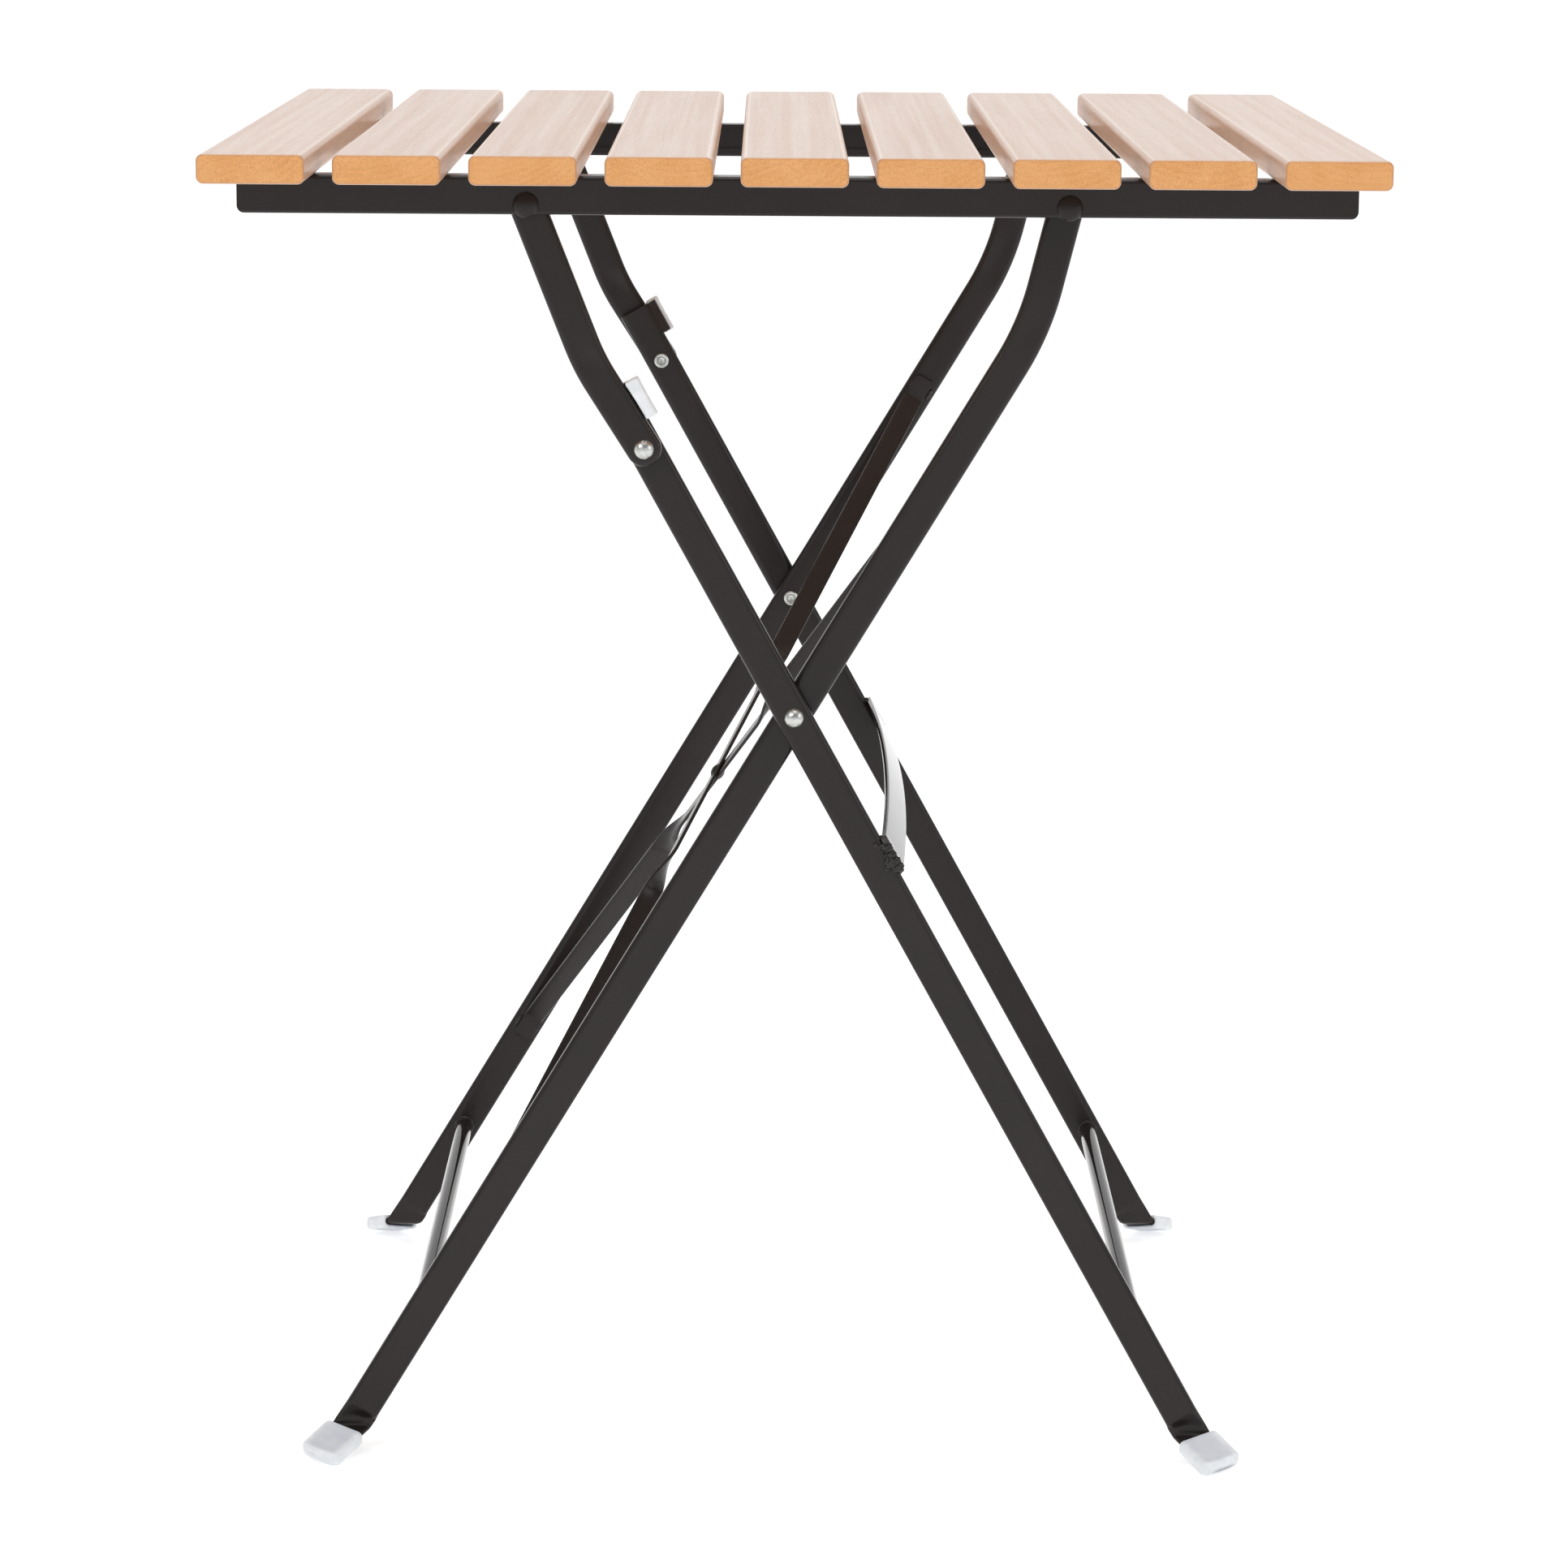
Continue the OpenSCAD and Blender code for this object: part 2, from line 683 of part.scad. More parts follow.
module brace_strap_1() { color(black) strap(1); }
module brace_strap_2() { color(black) strap(-1); }
module brace_rivet() {
    color(black) stand_bent() translate([0, 0, strap_middle]) rotate([0, 90, 0]) {
        cylinder(h = 2 * strap_t + 4 * strap_gap, d = brace_rivet_d, center = true,
            $fn = 48);
        for (flip = [0, 1]) mirror([0, 0, flip])
            translate([0, 0, strap_t + strap_gap]) rotate_extrude($fn = 48)
                polygon(dome(brace_head_d, brace_head_h));
    }
}
module bent_leg_crossbar() {
    color(black) stand_bent()
        translate([0, 0, (bent_bar_z - centre_z) / cos(bent_tilt)])
            crossbar_tube(bent_leg_y - half_d);
}

slat(1);  // slat_1
slat(2);  // slat_2
slat(3);  // slat_3
slat(4);  // slat_4
slat(5);  // slat_5
slat(6);  // slat_6
slat(7);  // slat_7
slat(8);  // slat_8
slat(9);  // slat_9
front_rail();
rear_rail();
slat_screws();
bent_leg_pins();
bent_leg_spacers();
link_rivets();
link_spacers();
front_link();
rear_link();
front_straight_leg();
rear_straight_leg();
front_stop_pad();
rear_stop_pad();
knee_rivets();
knee_washers();
centre_rivets();
centre_washers();
straight_leg_bar();
straight_leg_crossbar();
front_straight_foot();
rear_straight_foot();
front_bent_leg();
rear_bent_leg();
bent_leg_pin_tails();
brace_strap_1();
brace_strap_2();
brace_rivet();
bent_leg_crossbar();
front_bent_foot();
rear_bent_foot();
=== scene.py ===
import json
import math
import random

import bmesh
import bpy
from mathutils import Matrix, Vector, noise


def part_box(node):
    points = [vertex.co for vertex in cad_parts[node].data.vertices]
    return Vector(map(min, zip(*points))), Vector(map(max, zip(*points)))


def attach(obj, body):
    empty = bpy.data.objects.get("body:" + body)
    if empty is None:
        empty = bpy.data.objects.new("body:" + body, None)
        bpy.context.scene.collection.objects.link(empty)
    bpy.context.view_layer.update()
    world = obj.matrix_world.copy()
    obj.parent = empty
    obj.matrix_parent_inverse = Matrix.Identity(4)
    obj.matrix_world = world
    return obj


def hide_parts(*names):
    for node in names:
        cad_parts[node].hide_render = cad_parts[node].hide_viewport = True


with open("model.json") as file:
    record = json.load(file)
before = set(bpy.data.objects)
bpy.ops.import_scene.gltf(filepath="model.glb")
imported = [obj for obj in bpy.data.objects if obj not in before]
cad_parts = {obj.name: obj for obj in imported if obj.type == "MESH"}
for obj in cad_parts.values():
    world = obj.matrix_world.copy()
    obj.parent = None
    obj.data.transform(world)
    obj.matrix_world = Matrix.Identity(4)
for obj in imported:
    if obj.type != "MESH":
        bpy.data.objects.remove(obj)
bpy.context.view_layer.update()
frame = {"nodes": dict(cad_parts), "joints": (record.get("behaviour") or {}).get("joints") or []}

# A folding slatted table. Metres, +Z up, the front at -Y. The rear is the front's mirror image.
# Leans are angles from vertical towards +X.

# ---- Sizes and places ----

MM = 0.001
joint_at = {joint["name"]: Vector(joint["pos_m"]) for joint in frame["joints"]}
CENTRE = joint_at["scissor"]
KNEE = joint_at["knee_fold"]
LINK_PIVOT = joint_at["link_fold"]


def middle(node):
    low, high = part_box(node)
    return (low + high) / 2


def size(node):
    low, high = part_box(node)
    return high - low


LEG_PIVOT = Vector((middle("bent_leg_pins").x, 0, middle("bent_leg_pins").z))

TUBE_WIDTH = 2 * (KNEE.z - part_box("front_link")[0].z)
TUBE_DEPTH = size("front_link").y
TUBE_ROUND = 3 * MM
TUBE_CUT_ROUND = 0.8 * MM
LINK_Y = middle("front_link").y
STRAIGHT_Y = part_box("front_straight_leg")[1].y - TUBE_DEPTH / 2
BENT_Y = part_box("front_bent_leg")[1].y - TUBE_DEPTH / 2

BENT_LEAN = math.radians(31.1)
BENT_TOP_LEAN = math.radians(14)
BENT_RADIUS = 150 * MM
LINK_LEAN = math.radians(-32.5)
LINK_TOP_LEAN = math.radians(-21.5)
LINK_RADIUS = 120 * MM
STRAIGHT_LEAN = math.atan2(KNEE.x - CENTRE.x, KNEE.z - CENTRE.z)
BEND_DISH = 0.45 * MM

# A tube's foot end is pressed flat up to PRESSED above its fold, and round again at FLATTEN.
# PRESS_LAG is how much later its middle opens than its edges.
FOLD = math.radians(70)
FOLD_RADIUS = 3.2 * MM
PRESSED = 4 * MM
PRESS_LAG = 2.8 * MM
FLATTEN = 14 * MM
TAB_THICK = 3.4 * MM
TAB_SPREAD = 1.04
SLANT_ROOM = 2 * MM
# The soles would reach SOLE_CUT below the floor, and are cut off flat at its level.
CAP_WIDTH = 24.4 * MM
CAP_THICK = 8.2 * MM
CAP_LENGTH = 26 * MM
CAP_GAP = 0.3 * MM
CAP_FLOOR = 2 * MM
CAP_ROUND = 2.6 * MM
CAP_PANEL = 0.40 * MM
TOE_ROUND = 2.4 * MM
TOE_CURVE = 2.0 * MM
SOLE_CUT = 2 * MM

KNEE_OVERRUN = 34.5 * MM
EAR_UP = 24 * MM
EAR_LENGTH = 20 * MM
EAR_THICK = 3 * MM
EAR_ROUND = 0.4 * MM
EAR_LAP = 0.5 * MM
PAD_OFFSET = 8.9 * MM
PAD_THICK = 6.7 * MM
PAD_LENGTH = 22 * MM
PAD_WALL = 1.2 * MM
PAD_LEAN_IN = 1.2 * MM
PAD_ROUND = 2.0 * MM
PAD_MOUTH_ROUND = 1.1 * MM
PAD_MOUTH_DEPTH = 3 * MM

BAR_DROP = 90 * MM
BAR_WIDTH = 21 * MM
BAR_THICK = 3 * MM
BAR_BOW = 6 * MM
BAR_ROUND = 0.9 * MM
STRAP_WIDTH = 12 * MM
STRAP_THICK = 2 * MM
STRAP_UP = 144 * MM
STRAP_DOWN = 308 * MM
STRAP_LUG = 13 * MM
# How far from a strap's middle its twist starts, and the same for the lower half of strap 1.
STRAP_FLAT = 59 * MM
STRAP_FLAT_LOW = 51 * MM
STRAP_TWIST = 42 * MM
STRAP_ROUND = 0.7 * MM
STRAP_BEND_RADIUS = 3 * MM
STRAP_BEND_ROOM = 8 * MM
STRAP_GAP = 0.02 * MM
STRAP_TAPER = 4 * MM

CROSSBAR_RADIUS = 5 * MM
WELD_GAP = 0.1 * MM
# Lumps of weld at the bar's front end, in mm: how far past the tube's edge, how far up, radius.
BAR_WELD_LUMPS = ((-3.8, 9.2, 1.5), (-2.8, 7.4, 1.3), (-0.8, 6.2, 2.0), (1.2, 4.6, 2.4),
                  (1.2, 0.6, 2.5), (-1.6, 1.6, 1.6), (-1.8, -3.0, 3.3), (1.6, -3.6, 2.5),
                  (1.6, -6.8, 2.5), (-1.2, -7.2, 2.0), (-4.8, -5.0, 1.5))

SLAT_ROUND = 3.6 * MM
SLAT_END_ROUND = 1.6 * MM

# ---- Camera ----

# Where the photo was taken from. The lens and the sensor are in mm.
CAMERA_AT = Vector((-0.01288, -2.81246, 0.88027))
CAMERA_YAW = math.radians(-0.215)
CAMERA_PITCH = math.radians(-11.023)
CAMERA_ROLL = math.radians(-0.378)
CAMERA_LENS = 114.7
CAMERA_SENSOR = 36


def make_camera():
    data = bpy.data.cameras.new("camera")
    data.lens = CAMERA_LENS
    data.sensor_width = CAMERA_SENSOR
    camera = bpy.data.objects.new("camera", data)
    bpy.context.scene.collection.objects.link(camera)
    turn = (Matrix.Rotation(CAMERA_YAW, 4, "Z")
            @ Matrix.Rotation(math.pi / 2 + CAMERA_PITCH, 4, "X")
            @ Matrix.Rotation(-CAMERA_ROLL, 4, "Z"))
    camera.matrix_world = Matrix.Translation(CAMERA_AT) @ turn
    bpy.context.scene.camera = camera


# ---- Node helpers ----


class Shader:
    """Adds nodes to one material and joins them."""

    def __init__(self, name):
        self.material = bpy.data.materials.new(name)
        self.material.use_nodes = True
        self.tree = self.material.node_tree
        self.surface = self.tree.nodes["Principled BSDF"]

    def add(self, kind, settings=None, **inputs):
        """A node with its settings, and its inputs by name, each a value or a socket."""
        node = self.tree.nodes.new(kind)
        for key, value in (settings or {}).items():
            setattr(node, key, value)
        for key, value in inputs.items():
            self.feed(node, key.replace("_", " "), value)
        return node

    def feed(self, node, key, value):
        """Sets one input, found by its name, or by its number when the key is n and digits."""
        numbered = key[0] == "n" and key[1:].isdigit()
        socket = node.inputs[int(key[1:]) if numbered else key]
        if isinstance(value, bpy.types.NodeSocket):
            self.tree.links.new(value, socket)
        else:
            socket.default_value = value

    def put(self, **inputs):
        """Sets the surface's own inputs."""
        for key, value in inputs.items():
            self.feed(self.surface, key.replace("_", " "), value)

    def math(self, operation, a, b=0.0):
        return self.add("ShaderNodeMath", {"operation": operation}, n0=a, n1=b).outputs[0]

    def place(self, scale, offset=(0, 0, 0)):
        """Object coordinates, scaled along each axis."""
        coordinates = self.add("ShaderNodeTexCoord")
        mapping = self.add("ShaderNodeMapping", Vector=coordinates.outputs["Object"])
        mapping.inputs["Location"].default_value = offset
        mapping.inputs["Scale"].default_value = scale
        return mapping.outputs[0]

    def noise(self, scales, offset=(0, 0, 0), detail=3.0, rough=0.5):
        """Noise in object coordinates, with so many waves to the metre along each axis."""
        if isinstance(scales, (int, float)):
            scales = (scales, scales, scales)
        made = self.add("ShaderNodeTexNoise", Vector=self.place(scales, offset), Scale=1.0,
                        Detail=detail, Roughness=rough)
        return made.outputs["Fac"]

    def span(self, value, low, high, to_low=0.0, to_high=1.0):
        """Maps low..high to to_low..to_high, and holds it there beyond."""
        made = self.add("ShaderNodeMapRange", {"interpolation_type": "SMOOTHSTEP"},
                        Value=value, From_Min=low, From_Max=high, To_Min=to_low,
                        To_Max=to_high)
        return made.outputs[0]

    def mix(self, fac, a, b):
        made = self.add("ShaderNodeMix", {"data_type": "RGBA"})
        for index, value in ((0, fac), (6, a), (7, b)):
            self.feed(made, f"n{index}", value)
        return made.outputs[2]

    def bump(self, height, distance, strength, under=None):
        made = self.add("ShaderNodeBump", Height=height, Distance=distance,
                        Strength=strength)
        if under:
            self.tree.links.new(under, made.inputs["Normal"])
        return made.outputs[0]


# ---- Materials ----

# Linear colours of the wood on its long faces. A slat's own tone moves the first two.
LONG_PALE = (0.565, 0.366, 0.262)
LONG_PALE_RANGE = (0.016, 0.018, 0.018)
LONG_DEEP = (0.480, 0.285, 0.185)
LONG_DEEP_RANGE = (0.022, 0.020, 0.016)
LONG_BLUSH = (0.63, 0.45, 0.34, 1)
LONG_FIBRE = (0.37, 0.205, 0.115, 1)
LONG_PORE = (0.24, 0.12, 0.06, 1)
# The next colour is a painted highlight, laid on the rounded long edges of each slat.
LONG_EDGE_HIGHLIGHT = (0.80, 0.66, 0.55, 1)
# The same on its sawn ends.
SAWN_PALE = (0.690, 0.360, 0.145, 1)
SAWN_MID = (0.640, 0.310, 0.108, 1)
SAWN_DEEP = (0.500, 0.215, 0.062, 1)
SAWN_SPECK = (0.39, 0.155, 0.045, 1)
SAWN_RIM = (0.34, 0.150, 0.060, 1)

PAINT_DARK = (0.0110, 0.0080, 0.0075, 1)
PAINT_LIGHT = (0.0185, 0.0150, 0.0140, 1)
PAINT_DUST = (0.05, 0.045, 0.043, 1)
ZINC_DULL = (0.42, 0.43, 0.42, 1)
ZINC_BRIGHT = (0.54, 0.55, 0.53, 1)
PLASTIC_DULL = (0.62, 0.645, 0.67, 1)
PLASTIC_PALE = (0.71, 0.73, 0.75, 1)
PLASTIC_OVER_STEEL = (0.43, 0.46, 0.52, 1)
FLOOR_DULL = (0.90, 0.90, 0.90, 1)
FLOOR_PALE = (0.93, 0.93, 0.93, 1)

TOP_HEIGHT = 0.71
PAINT_ROUGHNESS_RANGE = 0.08


def toned(colour, reach, tone):
    """A colour moved along its range by a tone between -1 and 1."""
    return [value + way * tone for value, way in zip(colour, reach)] + [1]


def add_growth_rings(shader, shift, pith, per_metre):
    """Saw-toothed growth rings round the pith, which wander slowly along the slat."""
    sway = shader.noise((9, 1.3, 9), shift, 2.0)
    wander = shader.add("ShaderNodeVectorMath", {"operation": "SCALE"}, Scale=10 * MM)
    shader.tree.links.new(sway, wander.inputs[0])
    place = shader.add("ShaderNodeVectorMath", {"operation": "ADD"},
                       n0=shader.place((1, 0.018, 1), pith), n1=wander.outputs[0])
    kind = {"wave_type": "RINGS", "rings_direction": "Y", "wave_profile": "SAW"}
    return shader.add("ShaderNodeTexWave", kind, Vector=place.outputs[0], Scale=per_metre,
                      Distortion=1.6, Detail=2.0, Detail_Scale=1.2,
                      Detail_Roughness=0.6).outputs["Fac"]


def make_wood(number):
    """Varnished pale hardwood, its grain along Y, with growth rings that run through the slat."""
    draw = random.Random(100 + number)
    shader = Shader(f"wood_{number}")
    shift = [draw.uniform(-1, 1) for _ in range(3)]
    pith = (draw.uniform(-0.03, 0.03) - middle(f"slat_{number}").x,
            0, -TOP_HEIGHT - draw.uniform(0.035, 0.09))
    tone = draw.uniform(-1, 1)
    rings = add_growth_rings(shader, shift, pith, 80 + 25 * draw.random())

    fibre = shader.noise((1500, 26, 1500), shift, 4.0, 0.62)
    streak = shader.noise((210, 2.2, 210), shift, 3.0, 0.55)
    patch = shader.noise((26, 3.5, 26), shift, 2.0)
    pores = shader.span(shader.noise((2300, 95, 2300), shift, 1.0), 0.66, 0.74)
    pale = toned(LONG_PALE, LONG_PALE_RANGE, tone)
    deep = toned(LONG_DEEP, LONG_DEEP_RANGE, tone)
    colour = shader.mix(shader.span(rings, 0.1, 0.95, 0.0, 0.36), pale, deep)
    colour = shader.mix(shader.span(streak, 0.36, 0.72, 0.0, 0.32), colour, deep)
    colour = shader.mix(shader.span(patch, 0.35, 0.7, 0.0, 0.30), colour, LONG_BLUSH)
    colour = shader.mix(shader.span(fibre, 0.42, 0.62, 0.0, 0.28), colour, LONG_FIBRE)
    colour = shader.mix(shader.math("MULTIPLY", pores, 0.40), colour, LONG_PORE)

    coordinates = shader.add("ShaderNodeTexCoord")
    normal = shader.add("ShaderNodeSeparateXYZ", Vector=coordinates.outputs["Normal"])
    level = shader.math("ABSOLUTE", normal.outputs["Z"])
    # Painted highlight: the colour is made paler on the rounded long edges, found where the normal
    # tilts away from straight up or down.
    edge_highlight = shader.math("MULTIPLY", shader.span(level, 0.80, 0.93),
                           shader.span(level, 0.975, 0.999, 1.0, 0.0))
    colour = shader.mix(shader.math("MULTIPLY", edge_highlight, 0.45), colour, LONG_EDGE_HIGHLIGHT)

    along = shader.math("ABSOLUTE", normal.outputs["Y"])
    end = shader.span(along, 0.45, 0.95)
    rim = shader.math("MULTIPLY", shader.span(along, 0.08, 0.5),
                      shader.span(along, 0.80, 0.99, 1.0, 0.0))
    speck = shader.noise((1300, 60, 1300), shift, 4.0, 0.7)
    bloom = shader.noise((70, 5, 70), shift, 2.0)
    sawn = shader.mix(shader.span(rings, 0.1, 0.95, 0.0, 0.26), SAWN_MID, SAWN_DEEP)
    sawn = shader.mix(shader.span(bloom, 0.35, 0.65, 0.0, 0.5), sawn, SAWN_PALE)
    sawn = shader.mix(shader.span(speck, 0.44, 0.68, 0.0, 0.50), sawn, SAWN_SPECK)
    colour = shader.mix(end, colour, sawn)
    colour = shader.mix(shader.math("MULTIPLY", rim, 0.45), colour, SAWN_RIM)

    grain = shader.math("ADD", shader.math("MULTIPLY", fibre, 0.6),
                        shader.math("MULTIPLY", streak, 0.8))
    swell = shader.bump(shader.noise((70, 3, 70), shift, 2.0), 0.6 * MM, 0.06)
    varnish = shader.span(level, 0.5, 0.95, 0.35, 0.86)
    shader.put(Base_Color=colour, Normal=shader.bump(grain, 0.10 * MM, 0.5, swell),
               Roughness=shader.span(streak, 0.3, 0.7, 0.42, 0.55),
               Coat_Weight=varnish, Coat_IOR=1.5, Coat_Normal=swell, Specular_IOR_Level=0.2,
               Coat_Roughness=shader.span(streak, 0.35, 0.65, 0.18, 0.22))
    return shader.material


def make_paint(name, roughest, specular):
    """Black powder coat: semi-gloss, with its fine orange peel and faint unevenness."""
    shader = Shader(name)
    cloud = shader.noise(16)
    peel = shader.noise(620, detail=2.0)
    dust = shader.noise(2600, detail=2.0)
    colour = shader.mix(cloud, PAINT_DARK, PAINT_LIGHT)
    colour = shader.mix(shader.span(dust, 0.70, 0.80, 0.0, 0.25), colour, PAINT_DUST)
    haze = shader.math("MULTIPLY", cloud, PAINT_ROUGHNESS_RANGE)
    shader.put(Base_Color=colour, Normal=shader.bump(peel, 0.12 * MM, 0.30),
               Specular_IOR_Level=specular,
               Roughness=shader.math("ADD", haze, roughest - PAINT_ROUGHNESS_RANGE))
    return shader.material


def make_zinc():
    """Bright zinc plate with fine scratches and a faint cloudiness."""
    shader = Shader("zinc_plate")
    cloud = shader.noise(420)
    scratch = shader.noise((900, 5200, 3100), rough=0.6)
    colour = shader.mix(shader.span(cloud, 0.3, 0.7), ZINC_DULL, ZINC_BRIGHT)
    shader.put(Base_Color=colour, Metallic=1.0,
               Roughness=shader.span(cloud, 0.3, 0.7, 0.16, 0.26),
               Normal=shader.bump(scratch, 0.01 * MM, 0.15))
    return shader.material


def make_plastic():
    """Milky soft plastic: greyer where steel stands behind it."""
    shader = Shader("milky_plastic")
    behind = shader.add("ShaderNodeAttribute", {"attribute_name": "steel_behind"})
    cloud = shader.noise(150)
    grain = shader.noise(2400, detail=2.0)
    colour = shader.mix(shader.span(cloud, 0.3, 0.7), PLASTIC_DULL, PLASTIC_PALE)
    colour = shader.mix(shader.math("MULTIPLY", behind.outputs["Fac"], 0.55), colour,
                        PLASTIC_OVER_STEEL)
    shader.put(Base_Color=colour, Roughness=shader.span(cloud, 0.3, 0.7, 0.28, 0.40),
               Subsurface_Weight=0.25, Subsurface_Radius=(4 * MM, 4 * MM, 4.5 * MM),
               Subsurface_Scale=1.0, Normal=shader.bump(grain, 0.04 * MM, 0.4))
    return shader.material


def make_floor_material():
    shader = Shader("floor")
    cloud = shader.noise(0.8, detail=2.0)
    colour = shader.mix(shader.span(cloud, 0.2, 0.8), FLOOR_DULL, FLOOR_PALE)
    shader.put(Base_Color=colour, Roughness=0.9, Specular_IOR_Level=0.1,
               Emission_Color=(1, 1, 1, 1), Emission_Strength=0.40)
    return shader.material


# ---- Mesh helpers ----


def rounded_section(width, depth, radius, flat_steps=1, corner_steps=5):
    """Anticlockwise outline of a rounded rectangle, its wide sides cut into flat_steps."""
    points = []
    flat_x, flat_y = width / 2 - radius, depth / 2 - radius
    for quarter, (sx, sy) in enumerate(((1, 1), (-1, 1), (-1, -1), (1, -1))):
        for i in range(corner_steps + 1):
            a = math.pi / 2 * (quarter + i / corner_steps)
            points.append((sx * flat_x + radius * math.cos(a),
                           sy * flat_y + radius * math.sin(a)))
        if quarter in (0, 2):
            for i in range(1, flat_steps):
                points.append((sx * flat_x * (1 - 2 * i / flat_steps), sy * depth / 2))
    return points


def loft(rings, mesh=None, close=True):
    """Skins rings of equally many points, and closes the two ends."""
    mesh = mesh or bmesh.new()
    rows = [[mesh.verts.new(point) for point in ring] for ring in rings]
    count = len(rows[0])
    for low, high in zip(rows, rows[1:]):
        for i in range(count):
            j = (i + 1) % count
            mesh.faces.new((low[i], low[j], high[j], high[i]))
    if close:
        mesh.faces.new(rows[0][::-1])
        mesh.faces.new(rows[-1])
    return mesh


def mirror_mesh(mesh):
    for vert in mesh.verts:
        vert.co.y = -vert.co.y
    bmesh.ops.reverse_faces(mesh, faces=mesh.faces)


def finish_mesh(mesh):
    """Welds points that coincide, drops faces with no area, and turns all faces outwards."""
    same_place, no_area = 1e-6, 1e-13
    bmesh.ops.remove_doubles(mesh, verts=mesh.verts, dist=same_place)
    flat = [face for face in mesh.faces if face.calc_area() < no_area]
    bmesh.ops.delete(mesh, geom=flat, context="FACES_ONLY")
    bmesh.ops.recalc_face_normals(mesh, faces=mesh.faces)


def make_piece(name, mesh, material, body, stands_for=()):
    finish_mesh(mesh)
    data = bpy.data.meshes.new(name)
    mesh.to_mesh(data)
    mesh.free()
    data.shade_smooth()
    data.materials.append(material)
    piece = bpy.data.objects.new(name, data)
    bpy.context.scene.collection.objects.link(piece)
    normals = piece.modifiers.new("normals", "WEIGHTED_NORMAL")
    normals.weight = 90
    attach(piece, body)
    if stands_for:
        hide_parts(*stands_for)
    return piece


def make_pair(name, build, material, body, node=None):
    """A front piece and its mirror image at the rear. node is their CAD name, if they have one."""
    for side in ("front", "rear"):
        mesh = build()
        if side == "rear":
            mirror_mesh(mesh)
        stands_for = [f"{side}_{node}"] if node else []
        make_piece(f"{name}_{side}", mesh, material, body, stands_for)


def smooth_step(t):
    t = min(max(t, 0), 1)
    return t * t * (3 - 2 * t)


def upward(lean):
    return Vector((math.sin(lean), 0, math.cos(lean)))


def across(lean):
    return Vector((math.cos(lean), 0, -math.sin(lean)))


def stand(point, lean):
    """A frame at a point, its z along a member of that lean."""
    return Matrix.Translation(point) @ Matrix.Rotation(lean, 4, "Y")


# ---- Flat-sided tube ----

TUBE = rounded_section(TUBE_WIDTH, TUBE_DEPTH, TUBE_ROUND, flat_steps=10, corner_steps=6)
TUBE_FLAT = TUBE_WIDTH / 2 - TUBE_ROUND


def tube_ring(place, dish=0.0):
    """One ring of tube. dish is how far its wide faces sink in, as they do in a bend."""
    ring = []
    for x, y in TUBE:
        sink = dish * max(0, 1 - (x / TUBE_FLAT) ** 2)
        ring.append(place @ Vector((x, y - math.copysign(sink, y), 0)))
    return ring


def round_end(place, steps=12):
    """Rings that close a tube in a half round about the place's own origin."""
    rings = []
    for i in range(1, steps + 1):
        a = math.pi / 2 * i / steps
        rings.append([place @ Vector((x * math.cos(a), y, abs(x) * math.sin(a)))
                      for x, y in TUBE])
    return rings


def bent_rings(start, lean, end, end_lean, radius, steps=18):
    """Rings from just above start, round one bend, to end."""
    way = end - start
    reach = ((way.x * math.cos(end_lean) - way.z * math.sin(end_lean))
             / math.sin(lean - end_lean))
    turn = end_lean - lean
    first = start + upward(lean) * (reach - radius * math.tan(abs(turn) / 2))
    hub = first + across(lean) * math.copysign(radius, turn)
    rings = []
    for i in range(steps + 1):
        here = lean + turn * i / steps
        point = hub - across(here) * math.copysign(radius, turn)
        dish = BEND_DISH * math.sin(math.pi * i / steps) ** 2
        rings.append(tube_ring(stand(point, here), dish))
    rings.append(tube_ring(stand(end, end_lean)))
    return rings


def fold_slope(lean):
    """Distance along the tube from the middle of its level fold line to either end of it."""
    return TUBE_WIDTH / 2 * math.tan(abs(lean))


def fold_point(y, lean):
    """The middle of the level line that a leg's pressed end is folded along."""
    down = fold_slope(lean) + CAP_GAP + CAP_LENGTH
    height = ((CAP_WIDTH / 2 * math.sin(abs(lean)) + down * math.cos(lean)) * math.cos(FOLD)
              + CAP_THICK / 2 * math.sin(FOLD) - SOLE_CUT)
    return CENTRE + Vector(((height - CENTRE.z) * math.tan(lean), y, height - CENTRE.z))


def fold_frame(y, lean):
    """A frame on the folded end: x across it, y through it, -z along it."""
    return (Matrix.Translation(fold_point(y, lean)) @ Matrix.Rotation(-FOLD, 4, "X")
            @ Matrix.Rotation(lean, 4, "Y"))


def fold_over(fold, lean, x, y, up):
    """Where a point of the leg goes when the leg is folded outwards along its level line."""
    side = x * math.cos(lean) + up * math.sin(lean)
    rise = up * math.cos(lean) - x * math.sin(lean)
    reach = FOLD_RADIUS * math.tan(FOLD / 2)
    turn = FOLD * min(max((reach - rise) / (2 * reach), 0), 1)
    beyond = min(rise + reach, 0)
    above = max(rise - reach, 0)
    out = (FOLD_RADIUS + y) * math.cos(turn) - FOLD_RADIUS + beyond * math.sin(turn)
    high = reach - (FOLD_RADIUS + y) * math.sin(turn) + beyond * math.cos(turn) + above
    return fold + Vector((side, out, high))


